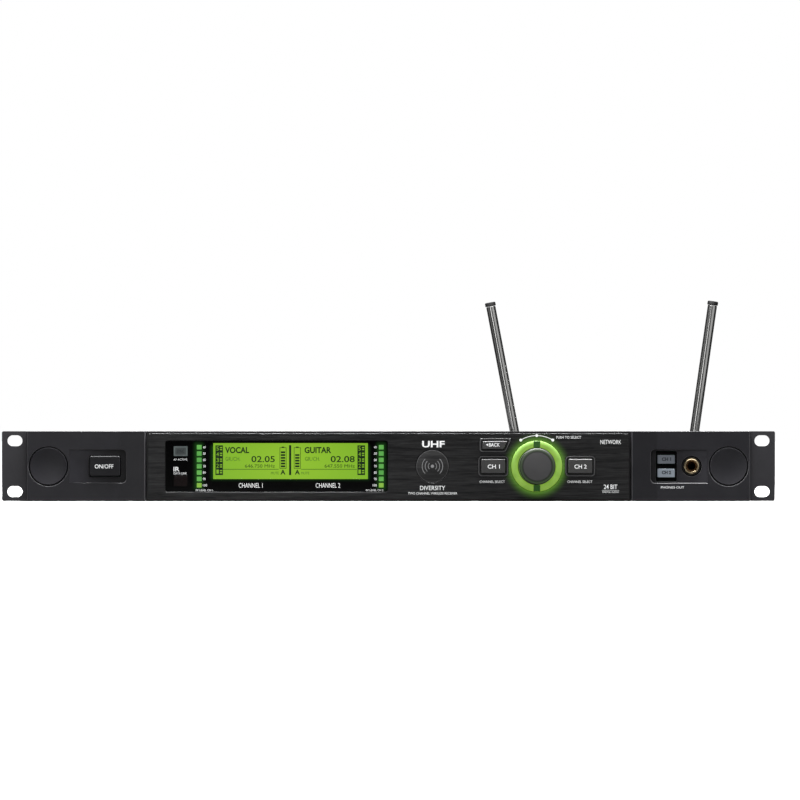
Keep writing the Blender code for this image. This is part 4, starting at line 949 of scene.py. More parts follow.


# The lip's wider rounding takes the second, lighter finish: a painted highlight.
for node in ("left_side_moulding", "right_side_moulding"):
    dressed(node, [moulding_satin, moulding_edge], 0.00045, 3, 32, (crease_x,), (0.0009, on_lit_lip))
for side in ("left", "right"):
    node = f"{side}_port_cap"
    middle, radius = centre(node), (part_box(node)[1].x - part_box(node)[0].x) / 2
    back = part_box(node)[1].y
    profile = [(0, moulding_face + 0.0001), (radius - 0.0012, moulding_face + 0.0001)]
    profile += [(radius - 0.0009, moulding_face), (radius - 0.0006, moulding_face + 0.0001)]
    profile += [(radius - 0.0004, moulding_face + 0.0005), (radius - 0.0004, plate_face - 0.0003)]
    profile += [(0.0048, plate_face - 0.0003), (0.0048, back), (0, back)]
    mesh = turned_mesh(f"{side}_port_disc", profile, (middle.x, 0, middle.z), 96)
    link_piece(f"{side}_port_disc", mesh, moulding_satin, "housing", (node,), 20)
print("mouldings and caps made")

# %% [markdown]
# ## The centre: frame and fascia
# The black frame shows as raised rims round the three keys and as a thin strip above and below the metal.
# The fascia is a flat plate with holes for the window, the ring, the disc and the rims. The back key's hole
# has a slanted side, so its outline is written as four corners and rounded.


# %% Frame and fascia
def rounded_polygon(points, corner, steps=4):
    """Rounds each corner of a convex outline."""
    made = []
    count = len(points)
    for i, point in enumerate(points):
        here = Vector(point)
        back = (Vector(points[i - 1]) - here).normalized()
        ahead = (Vector(points[(i + 1) % count]) - here).normalized()
        start, end = here + back * corner, here + ahead * corner
        for k in range(steps + 1):
            t = k / steps
            made.append(tuple(start * (1 - t) ** 2 + here * 2 * t * (1 - t) + end * t * t))
    return made


def back_key_corners(grow):
    """The slanted outline of the back key, moved out by grow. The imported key's box holds its flange, which
    stands out by a millimetre behind the face."""
    flange = 0.001
    low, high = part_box("back_key")
    slant, height = 0.0022, (high.z - low.z) - 2 * flange
    push = grow * math.hypot(slant, height) / height
    slope = slant / height
    flange_push = flange * math.hypot(slant, height) / height + slope * flange
    right = high.x - flange_push
    left, bottom, top = low.x + flange, low.z + flange, high.z - flange
    return [
        (left - grow, top + grow),
        (left - grow, bottom - grow),
        (right - slant + push - slope * grow, bottom - grow),
        (right + push + slope * grow, top + grow),
    ]


dressed("centre_frame", frame_plastic, 0.0003, 3)
low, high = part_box("centre_fascia")
rim_width, fascia_gap = 0.0014, 0.0003
rim = key_gap + rim_width + fascia_gap
outlines = [box_outline(low.x + 0.0005, high.x - 0.0005, low.z, high.z, 0.0007)]
outlines.append(
    box_outline(
        window_low.x - 0.0003, window_high.x + 0.0003, window_low.z - 0.0003, window_high.z + 0.0003, 0.0015
    )
)
outlines.append(circle_outline(knob_centre.x, knob_centre.z, ring_radius + fascia_gap, 128))
emblem = centre("emblem_disc")
emblem_radius = (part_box("emblem_disc")[1].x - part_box("emblem_disc")[0].x) / 2
outlines.append(circle_outline(emblem.x, emblem.z, emblem_radius + fascia_gap, 96))
outlines.append(rounded_polygon(back_key_corners(rim), 0.0018))
flange = 0.001
for i in (1, 2):
    key_low, key_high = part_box(f"channel_{i}_key")
    grow = rim - flange
    outlines.append(
        box_outline(key_low.x - grow, key_high.x + grow, key_low.z - grow, key_high.z + grow, 0.0026)
    )
# Two thin lighter lines along each key rim: a painted highlight on its edge.
rim_highlight_lines = [rounded_polygon(back_key_corners(rim - step), 0.0020) for step in (0.0003, 0.0008)]
for i in (1, 2):
    key_low, key_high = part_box(f"channel_{i}_key")
    for step in (0.0003, 0.0008):
        grow = rim - flange - step
        rim_highlight_lines.append(
            box_outline(
                key_low.x - grow, key_high.x + grow, key_low.z - grow, key_high.z + grow, 0.0026 - step
            )
        )
rim_face = front("centre_frame")
lines = cut_plate("key_rim_lines", rim_highlight_lines, rim_face - 0.00008, rim_face + 0.0001)
link_piece("key_rim_lines", lines, rim_grey, "housing")
fascia = link_piece(
    "brushed_fascia",
    cut_plate("brushed_fascia", outlines, fascia_face, fascia_back),
    fascia_metal,
    "housing",
    ("centre_fascia",),
)
rounded_edges(fascia, 0.00018, 2)

profile = [
    (0, fascia_face), (emblem_radius - 0.0005, fascia_face), (emblem_radius - 0.0002, fascia_face + 0.0001)
]
profile += [(emblem_radius, fascia_face + 0.0004), (emblem_radius, fascia_back), (0, fascia_back)]
disc = turned_mesh("emblem_inlay", profile, (emblem.x, 0, emblem.z), 96)
link_piece("emblem_inlay", disc, [disc_metal, rim_grey], "housing", ("emblem_disc",), 20)
# The emblem's outer edge is lighter grey, partly its own polish and partly a painted highlight.
for face in disc.polygons:
    if math.hypot(face.center.x - emblem.x, face.center.z - emblem.z) > emblem_radius - 0.0005:
        face.material_index = 1
print("fascia:", len(fascia.data.polygons), "faces")

# %% [markdown]
# ## The display
# Behind one polished black window stand the display, two columns of level lamps, a status lamp and the
# infrared eye. The window is a plate with an opening for each of them but the eye, whose dark face lies on
# the window. What it frames is set back by up to a third of a millimetre, so each has the fine dark edge of
# a real aperture. The display is a lit sheet with dark segments printed on it.

# %% Window
lamp_rows = [middle_z + mm(11.85 - 3.95 * i) for i in range(7)]
lcd_low, lcd_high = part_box("lcd_module")
lcd_window = (mm(-109.2), mm(-12.8), mm(13.8), mm(36.3))
outlines = [box_outline(window_low.x, window_high.x, window_low.z, window_high.z, 0.0012)]
outlines.append(box_outline(*lcd_window, 0.0003, 3))
lamp_half, lamp_tall = mm(1.52), mm(1.42)
lamp_x = {"left_level_meter": mm(0.3), "right_level_meter": 0.0}
for node in ("left_level_meter", "right_level_meter"):
    lamp_x[node] += centre(node).x
    x = lamp_x[node]
    for z in lamp_rows:
        outlines.append(box_outline(x - lamp_half, x + lamp_half, z - lamp_tall, z + lamp_tall, 0.0003, 2))
status_low, status_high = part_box("status_lamp")
outlines.append(
    box_outline(
        status_low.x + 0.0002, status_high.x - 0.0002, status_low.z + 0.0002, status_high.z - 0.0002, 0.0004
    )
)
window = link_piece(
    "window_plate",
    cut_plate("window_plate", outlines, window_face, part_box("display_window")[1].y),
    window_gloss,
    "housing",
    ("display_window",),
)
rounded_edges(window, 0.00012, 2)

# %% Lit sheet and lamps
lit_face = window_face + 0.0003
bm = bmesh.new()
inset = 0.0001
x0, x1, z0, z1 = lcd_window
bar(bm, x0 + inset, x1 - inset, z0 + inset, z1 - inset, lit_face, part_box("display_window")[1].y)
bar(bm, lcd_low.x, lcd_high.x, lcd_low.z, lcd_high.z, lcd_low.y, lcd_high.y)
link_piece("display_sheet", to_mesh(bm, "display_sheet"), backlight, "housing", ("lcd_module",))
for node in ("left_level_meter", "right_level_meter"):
    bm = bmesh.new()
    x = lamp_x[node]
    for z in lamp_rows:
        half, tall = lamp_half - inset, lamp_tall - inset
        bar(bm, x - half, x + half, z - tall, z + tall, window_face + 0.00005, lcd_low.y)
    low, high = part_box(node)
    bar(bm, low.x, high.x, low.z, high.z, low.y, high.y)
    looks = [level_lamp, end_lamp]
    lamps = link_piece(f"{node}_lamps", to_mesh(bm, f"{node}_lamps"), looks, "housing", (node,))
    for face in lamps.data.polygons:
        if face.center.z < lamp_rows[-1] + mm(1.6) and face.center.y < high.y - mm(1):
            face.material_index = 1
    rounded_edges(lamps, 0.0001, 2)
bm = bmesh.new()
low, high = status_low, status_high
bar(bm, low.x + 0.0003, high.x - 0.0003, low.z + 0.0003, high.z - 0.0003, window_face + 0.0001, high.y)
status = link_piece(
    "status_face", to_mesh(bm, "status_face"), status_edge, "housing", ("status_lamp",)
)
rounded_edges(status, 0.0002, 2)
bm = bmesh.new()
bar(
    bm,
    low.x + 0.0012,
    high.x - 0.0012,
    low.z + 0.0012,
    high.z - 0.0012,
    window_face + 0.00006,
    window_face + 0.0002,
)
link_piece("status_inner", to_mesh(bm, "status_inner"), status_light, "housing")
dressed("infrared_eye", infrared_plastic, 0.0001)
eye_low, eye_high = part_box("infrared_eye")
bm = bmesh.new()
bar(bm, eye_low.x, eye_high.x, eye_low.z, eye_high.z, window_face - 0.00008, window_face + 0.0001)
eye = link_piece("infrared_face", to_mesh(bm, "infrared_face"), infrared_plastic, "housing")
rounded_edges(eye, 0.00006, 2)

# %% [markdown]
# ### What the display shows
# Two channels side by side, each with a name, a preset, a frequency, a battery gauge and a level scale at
# its outer edge. The right half isn't a mirror of the left, so the halves share one function and pass their
# own places. Strong segments are one piece and the faint small words another.


# %% Display content
ink_face = lit_face
ink_top = lit_face - 0.00005


def battery(bm, left, low, bars):
    """An upright gauge: a thin outline with a cap, and solid bars inside."""
    wide, tall, line = mm(4.2), mm(13.2), mm(0.28)
    bar(bm, left, left + line, low, low + tall, ink_top, ink_face)
    bar(bm, left + wide - line, left + wide, low, low + tall, ink_top, ink_face)
    bar(bm, left + line, left + wide - line, low + tall - line, low + tall, ink_top, ink_face)
    bar(bm, left + line, left + wide - line, low, low + line, ink_top, ink_face)
    bar(bm, left + mm(1.3), left + wide - mm(1.3), low + tall, low + tall + mm(0.5), ink_top, ink_face)
    for i in range(bars):
        z = low + mm(0.9) + i * mm(1.75)
        bar(bm, left + mm(0.75), left + wide - mm(0.75), z, z + mm(1.1), ink_top, ink_face)


strong, middling, faint = bmesh.new(), bmesh.new(), bmesh.new()
for words, left, right, low, high in (
    ("VOCAL", -101.8, -86.8, 29.9, 33.8),
    ("02.05", -85.4, -70.8, 24.3, 28.2),
    ("A", -67.3, -64.2, 16.6, 19.6),
    ("GUITAR", -52.3, -35.7, 29.9, 33.8),
    ("02.08", -36.0, -21.0, 24.3, 28.2),
    ("A", -58.3, -55.2, 16.6, 19.6),
):
    lettering(
        strong, words, mm(left), mm(right), mm(low), mm(high), ink_face, 0.012 if words[0] == "0" else 0.03
    )
for words, left, right, low, high in (
    ("646.750 MHz", -89.4, -70.8, 20.9, 23.0), ("647.550 MHz", -39.8, -21.0, 20.9, 23.0)
):
    lettering(middling, words, mm(left), mm(right), mm(low), mm(high), ink_face)
for words, left, right, low, high in (
    ("GR./CH.", -101.5, -92.4, 25.2, 27.6),
    ("MUTE", -73.2, -68.3, 16.7, 18.3),
    ("GR./CH.", -52.0, -42.8, 25.2, 27.6),
    ("MUTE", -54.3, -49.4, 16.7, 18.3),
):
    lettering(faint, words, mm(left), mm(right), mm(low), mm(high), ink_face)
battery(strong, mm(-67.8), mm(20.3), 6)
battery(strong, mm(-58.9), mm(20.3), 5)
bar(strong, mm(-61.9), mm(-60.6), mm(16.3), mm(34.9), ink_top, ink_face)
bar(middling, mm(-103.0), mm(-68.4), mm(19.75), mm(20.05), ink_top, ink_face)
bar(middling, mm(-54.5), mm(-19.7), mm(19.75), mm(20.05), ink_top, ink_face)
for left in (-107.8, -19.3):
    bar(strong, mm(left), mm(left + 4.7), mm(16.3), mm(34.8), ink_top, ink_face)
link_piece("display_segments", to_mesh(strong, "display_segments"), lcd_ink, "housing")
link_piece(
    "display_frequencies", to_mesh(middling, "display_frequencies"), middling_ink, "housing"
)
link_piece("display_small_words", to_mesh(faint, "display_small_words"), faint_ink, "housing")
scales = bmesh.new()
for left, numbers in ((-107.2, "54321"), (-18.7, "54321")):
    for i, digit in enumerate(numbers):
        low = 31.6 - i * 3.6
        lettering(scales, digit, mm(left), mm(left + 1.5), mm(low), mm(low + 2.5), ink_top)
        bar(scales, mm(left + 2.2), mm(left + 3.6), mm(low + 0.2), mm(low + 0.9), ink_top - 0.00004, ink_top)
        bar(scales, mm(left + 2.2), mm(left + 3.6), mm(low + 1.5), mm(low + 2.2), ink_top - 0.00004, ink_top)
link_piece("display_scales", to_mesh(scales, "display_scales"), backlight, "housing")
print("display content drawn")

# %% [markdown]
# ## Keys and buttons
# The keys are moulded caps with softly rounded edges. The upper edge of each catches the light from above,
# so the rounding is wide and has several segments. Words printed on a key ride with that key.


# %% Keys
def printed(name, finish_, body, lines):
    """Words on one face, as a piece. Each line is (words, left, right, low, high, face, bold), in mm but for
    the face."""
    bm = bmesh.new()
    for words, left, right, low, high, face, bold in lines:
        lettering(bm, words, mm(left), mm(right), mm(low), mm(high), face, bold)
    return link_piece(name, to_mesh(bm, name), finish_, body)


dressed("back_key", key_plastic, 0.00045, 4)
dressed("channel_1_key", key_plastic, 0.00055, 4, shortest=0.0001)
dressed("channel_2_key", key_plastic, 0.00055, 4, shortest=0.0001)
dressed("power_button", button_plastic, 0.0009, 5)
dressed("phones_key_frame", window_gloss, 0.0002, shortest=0.0001)
dressed("phones_key_1", phones_light_1, 0.00035, 3)
dressed("phones_key_2", phones_light_2, 0.00035, 3)
printed(
    "back_words",
    white_ink,
    "back_key",
    [("BACK", 62.6, 69.3, 34.0, 36.3, front("back_key"), 0.010)],
)
bm = bmesh.new()
x, z = mm(61.6), mm(35.15)
tip = bmesh.ops.create_circle(bm, cap_ends=True, radius=mm(0.95), segments=3)["verts"]
bmesh.ops.rotate(bm, cent=(0, 0, 0), matrix=Matrix.Rotation(math.pi / 2, 3, "X"), verts=tip)
bmesh.ops.rotate(bm, cent=(0, 0, 0), matrix=Matrix.Rotation(-math.pi / 2, 3, "Y"), verts=tip)
bmesh.ops.translate(bm, vec=(x, front("back_key") - ink_thickness, z), verts=tip)
link_piece("back_arrow", to_mesh(bm, "back_arrow"), white_ink, "back_key")
for i, (left, right) in ((1, (61.8, 69.4)), (2, (115.8, 123.4))):
    node = f"channel_{i}_key"
    printed(
        f"channel_{i}_words",
        white_ink,
        node,
        [(f"CH {i}", left, right, 20.3, 22.9, front(node), 0.014)],
    )
node = "power_button"
printed("power_words", white_ink, node, [("ON/OFF", -183.0, -171.4, 20.4, 23.0, front(node), 0.004)])
for i, low in ((1, 25.1), (2, 16.8)):
    node = f"phones_key_{i}"
    printed(
        f"phones_words_{i}",
        dark_ink,
        node,
        [(f"CH {i}", 170.4, 176.2, low, low + 2.2, front(node), 0.05)],
    )
print("keys made")

# %% [markdown]
# ## The knob and its ring
# The knob is a turned cap: a dark skirt with a painted reflection of the ring's green, a metallic rounded
# edge and a flat satin top. The ring round it is a lit plastic hoop, dark for a few millimetres at the top
# and the bottom where a rib divides it.

# %% Ring
low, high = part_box("light_ring")
inner = 0.0117
ring_front, ring_back = low.y, high.y
profile = [(inner, ring_back), (inner, ring_front + 0.0009)]
profile += [(inner + 0.0005, ring_front + 0.0003), (inner + 0.0011, ring_front)]
profile += [(ring_radius - 0.0011, ring_front), (ring_radius - 0.0004, ring_front + 0.0004)]
profile += [(ring_radius, ring_front + 0.0011), (ring_radius, ring_back)]
mesh = turned_mesh("glow_ring", profile, (knob_centre.x, 0, knob_centre.z), 128)
link_piece("glow_ring", mesh, ring_light, "housing", ("light_ring",), 30)
ribs = bmesh.new()
for side in (-1, 1):
    z_in = knob_centre.z + side * (inner - 0.00002)
    z_out = knob_centre.z + side * (ring_radius - 0.0002)
    bar(
        ribs,
        knob_centre.x - 0.0021,
        knob_centre.x + 0.0021,
        min(z_in, z_out),
        max(z_in, z_out),
        ring_front - 0.0002,
        ring_front + 0.0012,
    )
rib_finish = lit("rib_green", (0.012, 0.030, 0.008), (0.010, 0.050, 0.004), (0.020, 0.085, 0.008), 0.8)
dark_ribs = link_piece("ring_ribs", to_mesh(ribs, "ring_ribs"), rib_finish, "housing")
rounded_edges(dark_ribs, 0.0003, 3)

# %% Knob
low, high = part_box("jog_knob")
radius = (high.x - low.x) / 2
length = high.y - low.y
profile = [(0, low.y), (0.0087, low.y), (0.0098, low.y + 0.0001), (0.0106, low.y + 0.0003)]
profile += [(0.0110, low.y + 0.0006), (0.0112, low.y + 0.0011), (radius, low.y + 0.0018)]
profile += [(radius, high.y - 0.0006), (radius - 0.0004, high.y), (0.0033, high.y)]
profile += [(0.0033, high.y - length * 0.45), (0, high.y - length * 0.45)]
mesh = turned_mesh("jog_cap", profile, (knob_centre.x, 0, knob_centre.z), 128)
knob_rim = finish("knob_rim", (0.10, 0.105, 0.10), (0.13, 0.135, 0.13), (0.34, 0.40), 1.0, bump=0.05)
knob_skirt = finish("knob_skirt", (0.020, 0.022, 0.018), (0.028, 0.030, 0.026), (0.36, 0.44), 0.2, bump=0.1)
# The skirt gets a painted reflection of the ring's green, stronger towards its edge.
add_painted_ring_glow(knob_skirt, (0.085, 0.175, 0.050), 0.0115, 0.0080, 0.9)
link_piece("jog_cap", mesh, [knob_plastic, knob_rim, knob_skirt], "knob", ("jog_knob",), 24)
for face in mesh.polygons:
    r = math.hypot(face.center.x - knob_centre.x, face.center.z - knob_centre.z)
    if r > 0.0088:
        face.material_index = 1 if 0.0106 < r and face.center.y < low.y + 0.0020 else 2
print("knob is", round(length * 1000, 1), "mm long")

# %% [markdown]
# ## The headphone jack
# A gold-plated bush in a shallow black well. The bush's lip is rounded and its bore runs deep. The inside
# of the bore is painted shade: dark, with a half-dark band near the mouth.

# %% Jack
low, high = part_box("headphone_jack")
jack = centre("headphone_jack")
bush_front = low.y
outer_r, bore_r, throat_r = 0.0047, 0.0033, 0.0025
profile = [(0, bush_front + 0.030), (throat_r, bush_front + 0.030), (throat_r, bush_front + 0.0024)]
profile += [
    (bore_r, bush_front + 0.0012), (bore_r + 0.0001, bush_front + 0.0004), (bore_r + 0.0004, bush_front)
]
profile += [
    (outer_r - 0.0005, bush_front), (outer_r - 0.0001, bush_front + 0.0002), (outer_r, bush_front + 0.0007)
]
profile += [(outer_r, high.y - 0.002), (0, high.y - 0.002)]
mesh = turned_mesh("jack_bush", profile, (jack.x, 0, jack.z), 72)
jack_dark = finish("jack_dark", (0.030, 0.010, 0.003), (0.045, 0.015, 0.004), (0.30, 0.40), 0.8, bump=0.1)
jack_throat = finish("jack_throat", (0.16, 0.085, 0.035), (0.21, 0.115, 0.050), (0.35, 0.45), 0.7, bump=0.1)
looks = [gold_plate, jack_dark, jack_throat]
link_piece("jack_bush", mesh, looks, "housing", ("headphone_jack",), 24)
# The bore's walls are painted shade: half-dark near the mouth, dark further in.
for face in mesh.polygons:
    r = math.hypot(face.center.x - jack.x, face.center.z - jack.z)
    if r < bore_r + 0.00005 and bush_front + 0.001 < face.center.y < high.y - 0.003:
        face.material_index = 2 if face.center.y < bush_front + 0.0024 else 1
low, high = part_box("jack_nut")
profile = [(0.0049, high.y), (0.0049, low.y + 0.0003), (0.0053, low.y), (0.0057, low.y)]
profile += [(0.0061, low.y + 0.0004), (0.0061, high.y)]
mesh = turned_mesh("jack_ring_nut", profile, (jack.x, 0, jack.z), 72)
link_piece("jack_ring_nut", mesh, black_nickel, "housing", ("jack_nut",), 24)
print("jack made")

# %% [markdown]
# ## Printed words on the front
# White legends on the window, the fascia and the right moulding. They say what a control does and carry no
# names. The arc above the knob is a thin line swept round the knob's axis, with a dot at each end and one
# in the middle.

# %% Window legends
top = window_face
lines = [("CHANNEL 1", -93.3, -78.4, 8.4, 11.3, top, 0.0), ("CHANNEL 2", -45.3, -30.1, 8.4, 11.3, top, 0.0)]
lines += [
    ("RF LEVEL CH 1", -120.0, -109.4, 6.3, 7.4, top, 0.0), ("RF LEVEL CH 2", -14.0, -3.2, 6.3, 7.4, top, 0.0)
]
lines += [
    ("AF ACTIVE", -133.9, -125.4, 25.4, 26.6, top, 0.0), ("DATA LINK", -133.8, -125.6, 16.7, 18.0, top, 0.0)
]
lines += [("IR", -133.9, -130.2, 18.6, 21.4, top, 0.01)]
for number, z in zip(("40", "50", "60", "70", "80", "90", "100"), lamp_rows):
    low, wide = z * 1000 - 0.75, 0.85 * len(number)
    lines.append((number, -115.6, -115.6 + wide, low, low + 1.5, top, 0.0))
    lines.append((number, -7.3 - wide, -7.3, low, low + 1.5, top, 0.0))
printed("window_legends", white_ink, "housing", lines)
printed(
    "status_words",
    dark_ink,
    "housing",
    [("SYNC", -131.7, -127.3, 30.2, 32.2, window_face, 0.02)],
)

# %% Fascia legends
top = fascia_face
lines = [
    ("UHF", 21.0, 35.0, 33.5, 37.6, top, 0.025),
    ("TWO CHANNEL WIRELESS RECEIVER", 12.2, 42.8, 4.2, 5.6, top, 0.0),
]
lines += [
    ("CHANNEL SELECT", 56.8, 72.5, 11.4, 12.9, top, 0.0),
    ("CHANNEL SELECT", 111.5, 127.0, 11.4, 12.9, top, 0.0),
]
lines += [
    ("PUSH TO SELECT", 104.6, 120.0, 39.0, 40.6, top, 0.0), ("NETWORK", 132.0, 145.0, 35.6, 38.2, top, 0.0)
]
lines += [
    ("24 BIT", 134.2, 142.6, 7.6, 10.4, top, 0.005), ("DIGITAL AUDIO", 133.3, 143.5, 5.2, 6.2, top, 0.0)
]
printed("fascia_legends", white_ink, "housing", lines)
lines = [("DIVERSITY", 19.7, 35.3, 6.9, 9.6, top, 0.0)]
printed("fascia_title", white_ink, "housing", lines)
bm = bmesh.new()
scale_radius, scale_end = 0.0191, 31.5
arc_strip(bm, knob_centre.x, knob_centre.z, scale_radius, 0.0004, -scale_end, scale_end, fascia_face)
for angle in (-scale_end, 0.0, scale_end):
    t = math.radians(angle)
    dot = bmesh.ops.create_cone(bm, cap_ends=True, segments=20, radius1=0.0009, radius2=0.0009, depth=0.00008)
    bmesh.ops.rotate(bm, cent=(0, 0, 0), matrix=Matrix.Rotation(math.pi / 2, 3, "X"), verts=dot["verts"])
    across, up = scale_radius * math.sin(t), scale_radius * math.cos(t)
    where = (knob_centre.x + across, fascia_face, knob_centre.z + up)
    bmesh.ops.translate(bm, vec=where, verts=dot["verts"])
bar(bm, mm(133.0), mm(143.8), mm(6.7), mm(6.85), fascia_face - ink_thickness, fascia_face)
link_piece("knob_scale", to_mesh(bm, "knob_scale"), white_ink, "housing")
printed(
    "phones_legend",
    white_ink,
    "housing",
    [("PHONES OUT", 169.8, 184.3, 7.9, 9.3, moulding_face, 0.0)],
)

# %% [markdown]
# ### The disc's symbol
# A plain radio symbol: a dot with three waves on each side.

# %% Disc symbol
bm = bmesh.new()
face = fascia_face
for radius in (0.0026, 0.0045, 0.0064):
    arc_strip(bm, emblem.x, emblem.z, radius, 0.00035, 45, 135, face)
    arc_strip(bm, emblem.x, emblem.z, radius, 0.00035, 225, 315, face)
dot = bmesh.ops.create_cone(bm, cap_ends=True, segments=24, radius1=0.0010, radius2=0.0010, depth=0.00008)
bmesh.ops.rotate(bm, cent=(0, 0, 0), matrix=Matrix.Rotation(math.pi / 2, 3, "X"), verts=dot["verts"])
bmesh.ops.translate(bm, vec=(emblem.x, face, emblem.z), verts=dot["verts"])
link_piece("radio_symbol", to_mesh(bm, "radio_symbol"), grey_ink, "housing")
print("legends printed")

# %% [markdown]
# ## The antennas
# Each is a satin nickel tube with a soft black cap, on a fork that folds. The whole stands on a plug that
# turns on the back panel's socket. The tube is turned about Y like everything else and then stood up along
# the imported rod's own axis, which comes from the fold joint.


# %% Antenna frames
def joint(name):
    return next(one for one in frame["joints"] if one["name"] == name)


def antenna_place(letter):
    """The matrix that takes an antenna drawn along +Y from the origin to its place at rest."""
    fold = joint(f"antenna_{letter}_fold")
    side = -Vector(fold["axis"]).normalized()
    up = side.cross(Vector((0, 1, 0))).normalized()
    back = up.cross(side).normalized()
    turn = Matrix((side, up, -back)).transposed().to_4x4()
    return Matrix.Translation(fold["pos_m"]) @ turn


reach = 0.1109
cap_start = reach - 0.0026
rod_radius, cap_radius = 0.00315, 0.0036
for letter in "ab":
    place = antenna_place(letter)
    profile = [(0, 0.0071), (0.0026, 0.0071), (0.0030, 0.0074), (rod_radius, 0.0079), (rod_radius, 0.0128)]
    profile += [(0.00295, 0.0130), (0.00295, 0.0134), (rod_radius, 0.0136)]
    profile += [(rod_radius, cap_start - 0.0008), (0.0030, cap_start - 0.0003), (0, cap_start - 0.0003)]
    tube = turned_mesh(f"antenna_tube_{letter}", profile, (0, 0, 0), 64)
    tube.transform(place)
    body = f"antenna_{letter}_mast"
    link_piece(
        f"antenna_tube_{letter}",
        tube,
        rod_metal,
        body,
        (f"antenna_rod_{letter}",),
        30,
    )
    bm = bmesh.new()
    bar(bm, -0.0014, 0.0014, -0.0026, 0.0026, 0.0, 0.0074)
    ends = bmesh.ops.create_cone(bm, cap_ends=True, segments=40, radius1=0.0033, radius2=0.0033, depth=0.0028)
    bmesh.ops.rotate(bm, cent=(0, 0, 0), matrix=Matrix.Rotation(math.pi / 2, 3, "Y"), verts=ends["verts"])
    bmesh.ops.transform(bm, matrix=place, verts=bm.verts)
    tang = link_piece(f"antenna_tang_{letter}", to_mesh(bm, "tang"), nickel, body)
    rounded_edges(tang, 0.0002, 2)
    profile = [(0, reach - 0.0005), (0.0018, reach - 0.0004), (0.0027, reach - 0.0001), (0.0031, reach)]
    profile += [(0.0035, reach - 0.0003), (cap_radius, reach - 0.0008), (cap_radius, cap_start + 0.0003)]
    profile += [(0.0034, cap_start), (0, cap_start)]
    cap = turned_mesh(f"antenna_tip_{letter}", profile, (0, 0, 0), 64)
    cap.transform(place)
    link_piece(
        f"antenna_tip_{letter}",
        cap,
        rubber_cap,
        body,
        (f"antenna_cap_{letter}",),
        30,
    )
print("antenna tubes and caps made")


# %% [markdown]
# ### Plugs, pins and sockets
# The plug is a copy of the imported one with a fluted grip round its collar, made from a circle whose every
# second point is pulled in. The sockets are turned, and the clock socket gets two bayonet lugs.


# %% Plugs and sockets
def fluted_ring(bm, at_y, length, outer, depth, teeth):
    """A ring of small flutes about the Y axis."""
    made = bmesh.ops.create_cone(
        bm, cap_ends=True, segments=teeth * 2, radius1=outer, radius2=outer, depth=length
    )["verts"]
    for vert in made:
        angle = math.atan2(vert.co.y, vert.co.x)
        if round(angle / (math.pi / teeth)) % 2:
            vert.co.x *= 1 - depth / outer
            vert.co.y *= 1 - depth / outer
    bmesh.ops.rotate(bm, cent=(0, 0, 0), matrix=Matrix.Rotation(-math.pi / 2, 3, "X"), verts=made)
    bmesh.ops.translate(bm, vec=(0, at_y + length / 2, 0), verts=made)
    return made


def socket_piece(name, node, x):
    """A turned coaxial socket."""
    face = rear_face
    open_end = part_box(node)[1].y - face
    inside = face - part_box(node)[0].y
    profile = [(0, open_end - 0.002), (0.0009, open_end - 0.002), (0.0011, open_end - 0.0024)]
    profile += [(0.0011, open_end - 0.008), (0.0036, open_end - 0.008), (0.0036, open_end - 0.0003)]
    profile += [(0.0039, open_end), (0.0045, open_end), (0.0048, open_end - 0.0003), (0.0048, 0.0023)]
    profile += [(0.0066, 0.0023), (0.0072, 0.0018), (0.0072, 0.0003), (0.0048, 0.0003), (0.0048, -0.0015)]
    profile += [(0.0055, -0.0015), (0.0055, -inside), (0, -inside)]
    mesh = turned_mesh(name, profile, (x, face, middle_z), 64)
    return link_piece(name, mesh, nickel, "housing", (node,), 30)


for letter in "ab":
    swivel = joint(f"antenna_{letter}_swivel")["pos_m"]
    dressed(f"antenna_plug_{letter}", black_nickel, 0.0003, 3)
    dressed(f"antenna_pin_{letter}", nickel, 0.0002, 2)
    low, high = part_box(f"antenna_plug_{letter}")
    bm = bmesh.new()
    fluted_ring(bm, low.y + 0.0015, 0.0085, 0.00735, 0.00035, 36)
    bmesh.ops.translate(bm, vec=(swivel[0], 0, swivel[2]), verts=bm.verts)
    name = f"antenna_grip_{letter}"
    link_piece(
        name, to_mesh(bm, name), black_nickel, f"antenna_{letter}_base", (), 20
    )
    socket_piece(f"antenna_jack_{letter}", f"antenna_socket_{letter}", swivel[0])
socket_piece("clock_jack", "clock_socket", centre("clock_socket").x)
bm = bmesh.new()
clock = centre("clock_socket")
lug_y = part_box("clock_socket")[1].y - 0.0035
lug = bmesh.ops.create_cone(bm, cap_ends=True, segments=16, radius1=0.0009, radius2=0.0009, depth=0.0112)
bmesh.ops.translate(bm, vec=(clock.x, lug_y, clock.z), verts=lug["verts"])
link_piece("clock_lugs", to_mesh(bm, "clock_lugs"), nickel, "housing")
print("plugs and sockets made")

# %% [markdown]
# ## The back panel's connectors
# Three line outputs with gold pins in deep cups, two network ports in tinned shells, a clock socket and the
# mains inlet. The pins stand in the same mesh as their cup, so the faces near each pin's axis take the pin
# finish.

# %% Connectors
def pin_faces(piece, places, radius, deep_y):
    """Gives the second material to the faces close to any of the pin axes and behind a level."""
    for face in piece.data.polygons:
        for x, z in places:
            near = abs(face.center.x - x) < radius and abs(face.center.z - z) < radius
            if near and face.center.y > deep_y:
                face.material_index = 1


